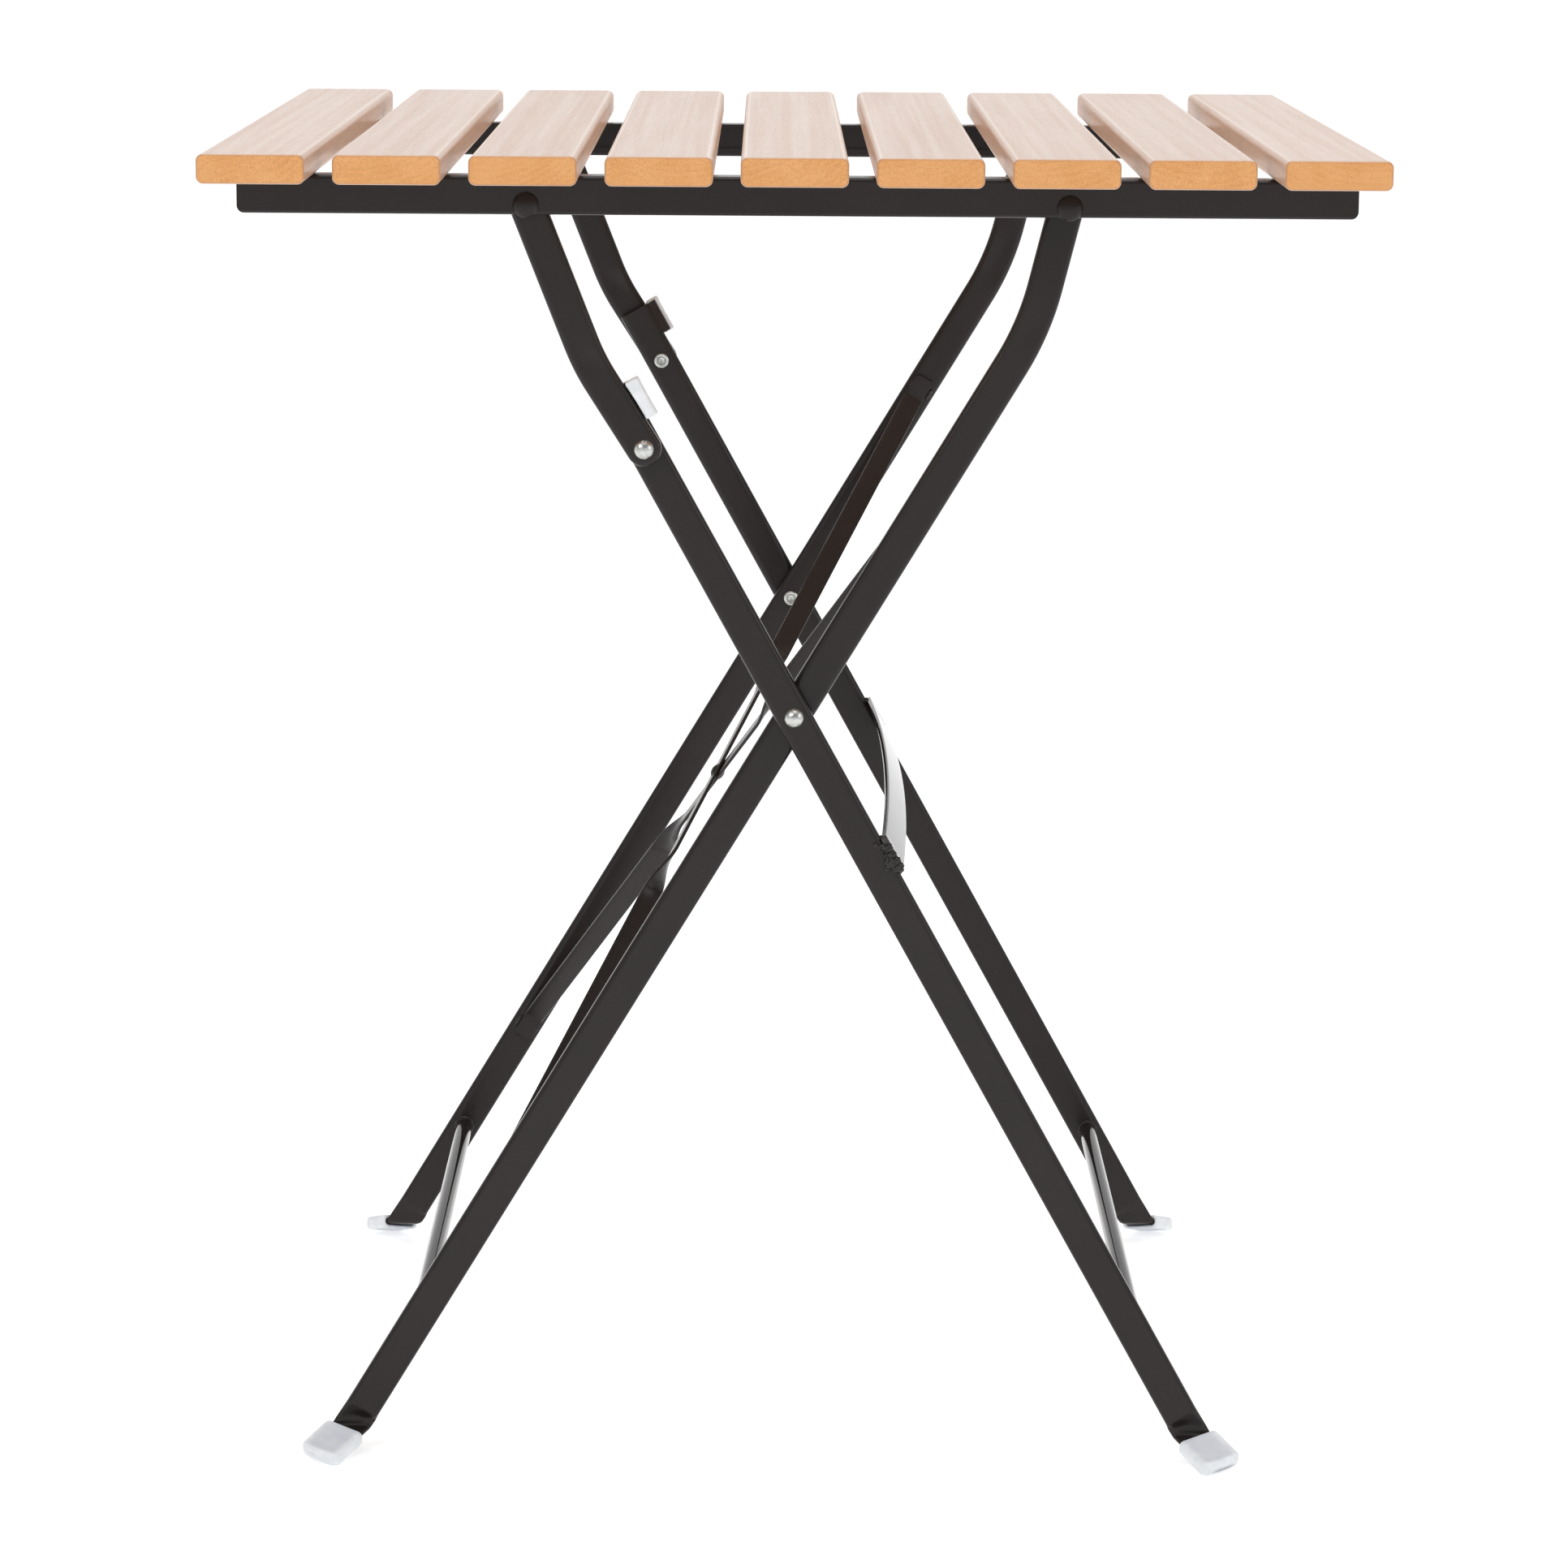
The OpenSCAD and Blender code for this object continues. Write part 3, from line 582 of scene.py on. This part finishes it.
def foot_rings(y, lean):
    """Rings from the end of the tab up to the round tube: pressed flat and folded outwards."""
    fold = fold_point(y, lean)
    slope = fold_slope(lean)
    reach = FOLD_RADIUS * math.tan(FOLD / 2) / math.cos(lean)
    pressed = TAB_THICK / TUBE_DEPTH
    fold_steps, open_steps = 10, 18
    levels = [(-slope - CAP_GAP - CAP_LENGTH + CAP_FLOOR, 0), (-slope - SLANT_ROOM - reach, 0)]
    levels += [(reach * (2 * i / fold_steps - 1), 1) for i in range(fold_steps + 1)]
    for i in range(1, open_steps + 1):
        t = i / open_steps
        levels.append((reach + (FLATTEN - reach) * t, 1 - smooth_step(t)))
    rings = []
    for up, skew in levels:
        ring = []
        for x, thick in TUBE:
            late = PRESSED + PRESS_LAG * (1 - (x / (TUBE_WIDTH / 2)) ** 2)
            open_up = smooth_step((up - late) / (FLATTEN - late))
            wide = x * (TAB_SPREAD + (1 - TAB_SPREAD) * open_up)
            ring.append(fold_over(fold, lean, wide,
                                  thick * (pressed + (1 - pressed) * open_up),
                                  up + x * math.tan(lean) * skew))
        rings.append(ring)
    return rings


def build_bent_leg():
    offset = Vector((0, BENT_Y, 0))
    rings = foot_rings(BENT_Y, BENT_LEAN)
    rings += bent_rings(CENTRE + offset, BENT_LEAN, LEG_PIVOT + offset, BENT_TOP_LEAN,
                        BENT_RADIUS)
    rings += round_end(stand(LEG_PIVOT + offset, BENT_TOP_LEAN))
    return loft(rings, close=False)


def build_link():
    offset = Vector((0, LINK_Y, 0))
    rings = round_end(stand(KNEE + offset, LINK_LEAN + math.pi))[::-1]
    rings = [[ring[i] for i in mirrored_order()] for ring in rings]
    rings.append(tube_ring(stand(KNEE + offset, LINK_LEAN)))
    rings += bent_rings(KNEE + offset, LINK_LEAN, LINK_PIVOT + offset, LINK_TOP_LEAN,
                        LINK_RADIUS)
    rings += round_end(stand(LINK_PIVOT + offset, LINK_TOP_LEAN))
    return loft(rings, close=False)


def mirrored_order():
    """Order that turns a ring seen upside down back into step with the ones above it."""
    order = []
    for x, y in TUBE:
        gaps = [abs(-x - u) + abs(y - v) for u, v in TUBE]
        order.append(gaps.index(min(gaps)))
    return order


def build_straight_leg():
    rings = foot_rings(STRAIGHT_Y, STRAIGHT_LEAN)
    reach = (KNEE - CENTRE).length + KNEE_OVERRUN
    place = stand(CENTRE + Vector((0, STRAIGHT_Y, 0)), STRAIGHT_LEAN)
    steps = 4
    for i in range(steps + 1):
        a = math.pi / 2 * i / steps
        shrink = TUBE_CUT_ROUND * (1 - math.cos(a))
        up = reach - TUBE_CUT_ROUND * (1 - math.sin(a))
        rings.append([place @ Vector((x * (1 - 2 * shrink / TUBE_WIDTH),
                                      y * (1 - 2 * shrink / TUBE_DEPTH), up))
                      for x, y in TUBE])
    return loft(rings)


# ---- Stop ears and their sleeves ----


def straight_leg_frame(up):
    return stand(CENTRE, STRAIGHT_LEAN) @ Matrix.Translation((0, 0, up))


def build_ear():
    """Flat ear on the straight leg's edge, turned outwards across the link's edge."""
    edge = TUBE_WIDTH / 2
    face = PAD_OFFSET + (PAD_THICK - EAR_THICK) / 2
    leg_back = STRAIGHT_Y + TUBE_DEPTH / 2
    leg_front = STRAIGHT_Y - TUBE_DEPTH / 2
    root = leg_back - 1.5 * MM
    bend = leg_back - 4 * MM
    tip = LINK_Y - TUBE_DEPTH / 2 + MM
    outline = [(edge - EAR_LAP, root), (edge, root), (face + EAR_THICK, bend),
               (face + EAR_THICK, tip), (face, tip), (face, leg_front),
               (edge - EAR_LAP, leg_front + MM)]
    middle_up = (KNEE - CENTRE).length + EAR_UP
    rings = [[straight_leg_frame(middle_up + side * EAR_LENGTH / 2) @ Vector((x, y, 0))
              for x, y in outline] for side in (-1, 1)]
    mesh = loft(rings)
    bmesh.ops.bevel(mesh, geom=list(mesh.edges), offset=EAR_ROUND, segments=2, profile=0.5,
                    affect="EDGES", clamp_overlap=True)
    return mesh


def sleeve_ring(place, width, depth, radius, z):
    return [place @ Vector((x, y, z))
            for x, y in rounded_section(width, depth, radius, flat_steps=4)]


def build_pad():
    """Soft sleeve, slightly waisted, open at its lower end where the ear enters it."""
    pad_low, pad_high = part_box("front_stop_pad")
    depth = pad_high.y - pad_low.y
    centre_up = (KNEE - CENTRE).length + EAR_UP
    place = straight_leg_frame(centre_up) @ Matrix.Translation(
        (PAD_OFFSET + PAD_THICK / 2, (pad_low.y + pad_high.y) / 2, 0))
    half = PAD_LENGTH / 2
    rings = [sleeve_ring(place, PAD_THICK - 2 * PAD_WALL, depth - 2 * PAD_WALL,
                         PAD_MOUTH_ROUND, -half + inside)
             for inside in (PAD_MOUTH_DEPTH, 0.3 * MM)]
    # Heights above the sleeve's lower end and the drawing-in there, in mm.
    middle_up, top_up = half / MM, PAD_LENGTH / MM
    profile = [(0, 0.8), (0.1, 0.35), (0.6, 0.0), (5, 0.12), (middle_up, 0.22),
               (top_up - 5, 0.12), (top_up - 1.2, 0.0), (top_up - 0.5, 0.15),
               (top_up - 0.15, 0.5), (top_up, 1.0)]
    for up, inset in profile:
        inset *= MM
        grow = PAD_LEAN_IN * up * MM / PAD_LENGTH
        ring = sleeve_ring(place @ Matrix.Translation((-grow / 2, 0, 0)),
                           PAD_THICK + grow - 2 * inset, depth - 2 * inset,
                           PAD_ROUND - inset, up * MM - half)
        rings.append(ring)
    return loft(rings)


# ---- Foot caps ----


def build_cap(y, lean):
    """Moulded cap on a leg's folded end: a lipped mouth, soft rims and a curved toe."""
    place = fold_frame(y, lean)
    start = fold_slope(lean) + CAP_GAP
    # The lip: mm down from the mouth, and drawing-in across the cap and through it.
    lip = [(4.0, 2.3, 1.9), (0.6, 2.3, 1.9), (0.05, 1.8, 1.4), (0.0, 1.1, 0.9),
           (0.25, 0.5, 0.35), (0.9, 0.1, 0.05)]
    profile = [(down * MM, side * MM, thick * MM) for down, side, thick in lip]
    lip_end = 2 * MM
    body_steps, toe_steps = 12, 7
    for i in range(1, body_steps + 1):
        body = CAP_LENGTH - TOE_ROUND - lip_end
        profile.append((lip_end + body * i / body_steps, 0, 0))
    for i in range(1, toe_steps + 1):
        a = math.pi / 2 * i / toe_steps
        inset = TOE_ROUND * (1 - math.cos(a))
        profile.append((CAP_LENGTH - TOE_ROUND * (1 - math.sin(a)), inset, inset))
    # The sunk panel: where it starts and ends, its soft border, and its part of the width.
    panel_start, panel_end, panel_border = 1.5 * MM, CAP_LENGTH - 3 * MM, 2 * MM
    panel_part, panel_side = 0.80, 0.14
    rings = []
    for down, side, thick in profile:
        width, depth = CAP_WIDTH - 2 * side, CAP_THICK - 2 * thick
        radius = min(CAP_ROUND, depth / 2 - 0.1 * MM)
        near = (smooth_step((down - panel_start) / panel_border)
                * smooth_step((panel_end - down) / panel_border))
        ring = []
        for x, z in rounded_section(width, depth, radius, flat_steps=14):
            part = x / (CAP_WIDTH / 2)
            lift = TOE_CURVE * part * part * smooth_step(down / CAP_LENGTH)
            sink = CAP_PANEL * near * smooth_step((panel_part - abs(part)) / panel_side)
            point = place @ Vector((x, z - math.copysign(sink, z), lift - down - start))
            point.z = max(point.z, 0)
            ring.append(point)
        rings.append(ring)
    return loft(rings), place


def mark_steel_behind(piece, inside):
    """Stores, for each point of a plastic piece, how much steel stands close behind it."""
    layer = piece.data.attributes.new("steel_behind", "FLOAT", "POINT")
    layer.data.foreach_set("value", [inside(vert.co) for vert in piece.data.vertices])


def make_foot(name, y, lean, body, node):
    """A front cap and its mirror image, each with the steel tab marked behind its plastic."""
    for side in ("front", "rear"):
        mesh, place = build_cap(y, lean)
        flip = 1
        if side == "rear":
            mirror_mesh(mesh)
            flip = -1
        piece = make_piece(f"{name}_{side}", mesh, plastic, body,
                           [f"{side}_{node}"])
        back = place.inverted()
        tab_end = fold_slope(lean) + CAP_GAP + CAP_LENGTH - CAP_FLOOR
        tab_half, side_blur, end_blur = 10.5 * MM, 4 * MM, 4.5 * MM

        def inside(point, back=back, flip=flip):
            here = back @ Vector((point.x, flip * point.y, point.z))
            return (smooth_step((tab_half - abs(here.x)) / side_blur)
                    * smooth_step((here.z + tab_end + MM) / end_blur))

        mark_steel_behind(piece, inside)


# ---- Bars, straps and welds ----


def build_bar():
    """Flat bar with rounded edges, bowed outwards, across the two straight legs."""
    span = -STRAIGHT_Y - TUBE_DEPTH / 2
    end = -STRAIGHT_Y + TUBE_DEPTH / 2
    section = rounded_section(BAR_WIDTH, BAR_THICK, BAR_ROUND, flat_steps=6, corner_steps=4)
    place = straight_leg_frame(-BAR_DROP)
    steps = 60
    rings = []
    for i in range(steps + 1):
        y = end * (2 * i / steps - 1)
        inner = min(max(y, -span), span)
        bow = BAR_BOW * (1 - (inner / span) ** 2)
        out = TUBE_WIDTH / 2 + BAR_THICK / 2 + bow
        rings.append([place @ Vector((out + thick, y, up)) for up, thick in section])
    return loft(rings)


def strap_place(along, half, angle):
    """Where a ring of the strap stands, in its own frame, at a distance from its middle."""
    bend_at = half - 0.5 * STRAP_THICK / math.sin(angle)
    radius = STRAP_BEND_RADIUS
    start = bend_at - radius * math.tan(angle / 2)
    if along <= start:
        return Matrix.Translation((0, 0, along))
    bent = min((along - start) / radius, angle)
    rest = along - start - bent * radius
    hub = Matrix.Translation((0, radius, start)) @ Matrix.Rotation(-bent, 4, "X")
    return hub @ Matrix.Translation((0, -radius, rest))


def strap_stops(flat, half):
    """Distances from a strap's middle at which one half of it has a ring."""
    stops = [flat * i / 4 for i in range(4)]
    stops += [flat + STRAP_TWIST * i / 20 for i in range(21)]
    near_bend = half - STRAP_BEND_ROOM
    stops += [near_bend * t + (flat + STRAP_TWIST) * (1 - t) for t in (0.25, 0.5, 0.75)]
    stops += [near_bend + (STRAP_BEND_ROOM + STRAP_LUG) * i / 24 for i in range(25)]
    return stops


def build_strap(side):
    """Cross brace: flat in its middle, twisted on edge towards lugs that lie on the legs."""
    face = -BENT_Y - TUBE_DEPTH / 2
    rise = (STRAP_UP + STRAP_DOWN) / 2
    angle = math.atan2(face, rise)
    half = math.hypot(face, rise)
    section = rounded_section(STRAP_WIDTH, STRAP_THICK, STRAP_ROUND, flat_steps=4,
                              corner_steps=3)
    lift = STRAP_THICK / 2 + STRAP_GAP
    base = (stand(CENTRE, BENT_LEAN)
            @ Matrix.Translation((side * lift, 0, (STRAP_UP - STRAP_DOWN) / 2)))
    rings = []
    for flip in (-1, 1):
        flat = STRAP_FLAT_LOW if flip < 0 < side else STRAP_FLAT
        stops = strap_stops(flat, half)
        for along in (stops if flip > 0 else stops[:0:-1]):
            turn = math.pi / 2 * (1 - smooth_step((along - flat) / STRAP_TWIST))
            left = half + STRAP_LUG - along
            taper = 1 - 0.35 * smooth_step(1 - left / STRAP_TAPER) ** 2
            here = strap_place(along, half, angle)
            ring = []
            for wide, thick in section:
                u, v = flip * wide * taper, thick
                local = here @ Vector((u * math.cos(turn) - v * math.sin(turn),
                                       u * math.sin(turn) + v * math.cos(turn), 0))
                if flip < 0:
                    local = Vector((local.x, -local.y, -local.z))
                ring.append(local)
            tilt = Matrix.Rotation(angle, 4, "X")
            ring = [tilt @ p for p in ring]
            rings.append([base @ Vector((p.x, side * p.y, p.z)) for p in ring])
    return loft(rings)


def lumpy(amount, point, seed):
    """A factor about 1 that varies from place to place, with some 900 lumps to the metre."""
    return 1 + amount * noise.noise(point * 900 + Vector((seed, 3.7 * seed, 0)))


def add_weld_ring(mesh, centre, radius, thick, seed):
    """Weld bead round a crossbar's end, with the ripples of a hand-held torch."""
    rings = []
    steps, sides = 44, 10
    for i in range(steps + 1):
        a = 2 * math.pi * (i % steps) / steps
        out = Vector((math.cos(a), 0, math.sin(a)))
        point = centre + out * radius
        ripple = 0.78 + 0.32 * abs(math.sin(4.5 * a + seed))
        ring = []
        for j in range(sides):
            b = 2 * math.pi * j / sides
            fat = thick * ripple * lumpy(0.35, point, seed + j)
            ring.append(point + out * math.cos(b) * fat
                        + Vector((0, math.sin(b) * fat, 0)))
        rings.append(ring)
    rings[-1] = [point.copy() for point in rings[0]]
    loft(rings, mesh, close=False)


def add_weld_line(mesh, start, end, thick, seed):
    """Short straight weld bead that tapers at both ends."""
    way = (end - start).normalized()
    side = way.orthogonal().normalized()
    other = way.cross(side)
    steps, sides = 26, 10
    rings = []
    for i in range(steps + 1):
        t = i / steps
        taper = math.sin(math.pi * (0.04 + 0.92 * t)) ** 0.45
        fat = thick * taper * (0.80 + 0.30 * abs(math.sin(7 * t * math.pi + seed)))
        point = start + (end - start) * t
        ring = []
        for j in range(sides):
            b = 2 * math.pi * j / sides
            bulge = fat * lumpy(0.4, point + side * MM * j, seed)
            ring.append(point + side * math.cos(b) * bulge + other * math.sin(b) * bulge)
        rings.append(ring)
    loft(rings, mesh)


def add_weld_lump(mesh, centre, radius, seed):
    """Rough ball of weld metal, flattened a little against the tube's front face."""
    ball = bmesh.ops.create_icosphere(mesh, subdivisions=4, radius=radius)
    for vert in ball["verts"]:
        way = vert.co.normalized()
        swell = 0.34 * noise.noise(way * 1.9 + Vector((seed, 0, 2.3 * seed)))
        ripple = 0.13 * noise.noise(way * 5.1 + Vector((0, seed, 1.1 * seed)))
        out = vert.co * (1 + swell + ripple)
        vert.co = centre + Vector((out.x, 0.7 * out.y, out.z))


def add_spatter(mesh, centre, draw):
    """Small beads of metal that stuck to the paint's undercoat beside a weld."""
    beads = 6
    spread = (2.5 * MM, 0.1 * MM, 3 * MM)
    smallest, largest = 0.35, 0.8
    for _ in range(beads):
        spot = centre + Vector([draw.uniform(-1, 1) * reach for reach in spread])
        bead = bmesh.ops.create_icosphere(mesh, subdivisions=2,
                                          radius=draw.uniform(smallest, largest) * MM)
        bmesh.ops.translate(mesh, verts=bead["verts"], vec=spot)


def build_straight_welds():
    mesh = bmesh.new()
    draw = random.Random(7)
    crossbar = middle("straight_leg_crossbar")
    bar_frame = straight_leg_frame(-BAR_DROP)
    edge = TUBE_WIDTH / 2
    for side in (-1, 1):
        inner = side * (-STRAIGHT_Y - TUBE_DEPTH / 2)
        outer = side * (-STRAIGHT_Y + TUBE_DEPTH / 2)
        joint = Vector((crossbar.x, inner, crossbar.z))
        add_weld_ring(mesh, joint, CROSSBAR_RADIUS + WELD_GAP, 1.1 * MM, 2 + side)
        add_spatter(mesh, joint + Vector((-5 * MM, 0, 7 * MM)), draw)
        for up in (-1, 1):
            place = straight_leg_frame(-BAR_DROP + up * (BAR_WIDTH / 2 - 0.2 * MM))
            start = place @ Vector((edge, inner + side * MM, 0))
            end = place @ Vector((edge, inner + side * 6 * MM, 0))
            add_weld_line(mesh, start, end, 1.5 * MM, 5 + up)
        past, face, reach = edge - 0.6 * MM, outer - side * 1.1 * MM, 8 * MM
        add_weld_line(mesh, bar_frame @ Vector((past, face, -reach)),
                      bar_frame @ Vector((past, face, reach)), 1.7 * MM, 9 + side)
    front_face = STRAIGHT_Y - TUBE_DEPTH / 2
    for number, (past, up, radius) in enumerate(BAR_WELD_LUMPS):
        spot = Vector((edge + past * MM, front_face, up * MM))
        add_weld_lump(mesh, bar_frame @ spot, radius * MM, number)
    return mesh


def build_bent_welds():
    mesh = bmesh.new()
    draw = random.Random(11)
    crossbar = middle("bent_leg_crossbar")
    leg_frame = stand(CENTRE, BENT_LEAN)
    for side in (-1, 1):
        inner = side * (-BENT_Y - TUBE_DEPTH / 2)
        joint = Vector((crossbar.x, inner, crossbar.z))
        add_weld_ring(mesh, joint, CROSSBAR_RADIUS + WELD_GAP, 1.2 * MM, 4 + side)
        add_spatter(mesh, joint + Vector((4 * MM, 0, 8 * MM)), draw)
        for along in (STRAP_UP, -STRAP_DOWN):
            outwards = math.copysign(1, along)
            for edge in (-1, 1):
                start, end = [leg_frame @ Vector((edge * STRAP_WIDTH / 2, inner - side * MM,
                                                  along + outwards * past))
                              for past in (2 * MM, 9 * MM)]
                add_weld_line(mesh, start, end, 1.1 * MM, 3 + edge)
    return mesh


# ---- Slats ----


def build_slat(number):
    """Board with rounded long edges and softened ends."""
    place = middle(f"slat_{number}")
    extent = size(f"slat_{number}")
    rings = []
    turns = 6
    for end in (-1, 1):
        angles = [math.pi / 2 * i / turns for i in range(turns + 1)]
        for a in (angles[::-1] if end < 0 else angles):
            inset = SLAT_END_ROUND * (1 - math.cos(a))
            y = end * (extent.y / 2 - SLAT_END_ROUND * (1 - math.sin(a)))
            section = rounded_section(extent.x - 2 * inset, extent.z - 2 * inset,
                                      SLAT_ROUND - inset / 2, flat_steps=6, corner_steps=8)
            rings.append([place + Vector((x, y, z)) for x, z in section])
    return loft(rings)


# ---- Studio ----


FLOOR_RADIUS = 40
LIGHT_AIM = (0, 0, 0.45)
# Brightness of the surroundings, from the horizon (0) to the zenith (1).
SKY_LEVELS = ((0.0, 1.0), (0.08, 0.95), (0.20, 0.76), (0.42, 0.45), (0.66, 0.45), (0.84, 1.0))


def make_floor():
    mesh = bmesh.new()
    bmesh.ops.create_circle(mesh, cap_ends=True, radius=FLOOR_RADIUS, segments=96)
    data = bpy.data.meshes.new("floor")
    mesh.to_mesh(data)
    mesh.free()
    data.materials.append(make_floor_material())
    floor = bpy.data.objects.new("floor", data)
    bpy.context.scene.collection.objects.link(floor)


def make_light(name, place, aim, width, power):
    """A round soft box of so many metres and watts."""
    data = bpy.data.lights.new(name, "AREA")
    data.shape = "DISK"
    data.size = width
    data.energy = power
    light = bpy.data.objects.new(name, data)
    light.location = place
    light.rotation_euler = (Vector(aim) - Vector(place)).to_track_quat("-Z", "Y").to_euler()
    bpy.context.scene.collection.objects.link(light)


def make_world():
    """Soft white surroundings, with a dimmer belt between the horizon and the zenith."""
    world = bpy.data.worlds.new("studio")
    bpy.context.scene.world = world
    world.use_nodes = True
    tree = world.node_tree
    background = tree.nodes["Background"]
    coordinates = tree.nodes.new("ShaderNodeTexCoord")
    parts = tree.nodes.new("ShaderNodeSeparateXYZ")
    ramp = tree.nodes.new("ShaderNodeValToRGB")
    tree.links.new(coordinates.outputs["Generated"], parts.inputs[0])
    tree.links.new(parts.outputs["Z"], ramp.inputs[0])
    tree.links.new(ramp.outputs[0], background.inputs[0])
    ramp.color_ramp.interpolation = "EASE"
    while len(ramp.color_ramp.elements) < len(SKY_LEVELS):
        ramp.color_ramp.elements.new(0.5)
    for element, (height, level) in zip(ramp.color_ramp.elements, SKY_LEVELS):
        element.position = height
        element.color = (level, level, level, 1)
    background.inputs["Strength"].default_value = 1.0


def make_studio():
    bpy.context.scene.view_settings.view_transform = "Standard"
    make_world()
    make_floor()
    make_light("overhead", (0.3, 0.2, 3.2), (0, 0, 0.4), 3.0, 42)
    make_light("key", (-1.9, -2.2, 2.3), LIGHT_AIM, 1.6, 20)
    make_light("fill", (2.4, -1.4, 1.5), LIGHT_AIM, 1.6, 10)
    make_light("spark", (-1.0, -2.7, 2.4), LIGHT_AIM, 0.16, 4)


# ---- The table ----

make_camera()
make_studio()

paint = make_paint("black_paint", 0.265, 0.25)
rivet_paint = make_paint("rivet_paint", 0.20, 0.20)
glossy_paint = make_paint("glossy_paint", 0.13, 0.60)
weld_paint = make_paint("weld_paint", 0.12, 0.34)
zinc = make_zinc()
plastic = make_plastic()

for slat_number in range(1, 10):
    make_piece(f"board_{slat_number}", build_slat(slat_number), make_wood(slat_number),
               "top", [f"slat_{slat_number}"])

make_pair("bent_tube", build_bent_leg, paint, "bent_legs", "bent_leg")
make_pair("straight_tube", build_straight_leg, paint, "straight_legs",
          "straight_leg")
make_pair("link_tube", build_link, paint, "links", "link")
make_pair("stop_ear", build_ear, paint, "straight_legs")
make_pair("stop_sleeve", build_pad, plastic, "straight_legs", "stop_pad")
make_foot("bent_cap", BENT_Y, BENT_LEAN, "bent_legs", "bent_foot")
make_foot("straight_cap", STRAIGHT_Y, STRAIGHT_LEAN, "straight_legs", "straight_foot")
make_piece("bowed_bar", build_bar(), glossy_paint, "straight_legs",
           ["straight_leg_bar"])
make_piece("cross_strap_1", build_strap(1), paint, "bent_legs",
           ["brace_strap_1"])
make_piece("cross_strap_2", build_strap(-1), paint, "bent_legs",
           ["brace_strap_2"])
make_piece("straight_leg_welds", build_straight_welds(), weld_paint, "straight_legs")
make_piece("bent_leg_welds", build_bent_welds(), weld_paint, "bent_legs")

finishes = {"black_steel": paint, "zinc": zinc, "plastic": plastic}
for cad_name, cad_object in frame["nodes"].items():
    for holder in cad_object.material_slots:
        if holder.material.name in finishes:
            holder.material = finishes[holder.material.name]
for name, finish in (("bent_leg_pins", rivet_paint), ("link_rivets", rivet_paint),
                     ("bent_leg_crossbar", glossy_paint),
                     ("straight_leg_crossbar", glossy_paint)):
    for holder in frame["nodes"][name].material_slots:
        holder.material = finish
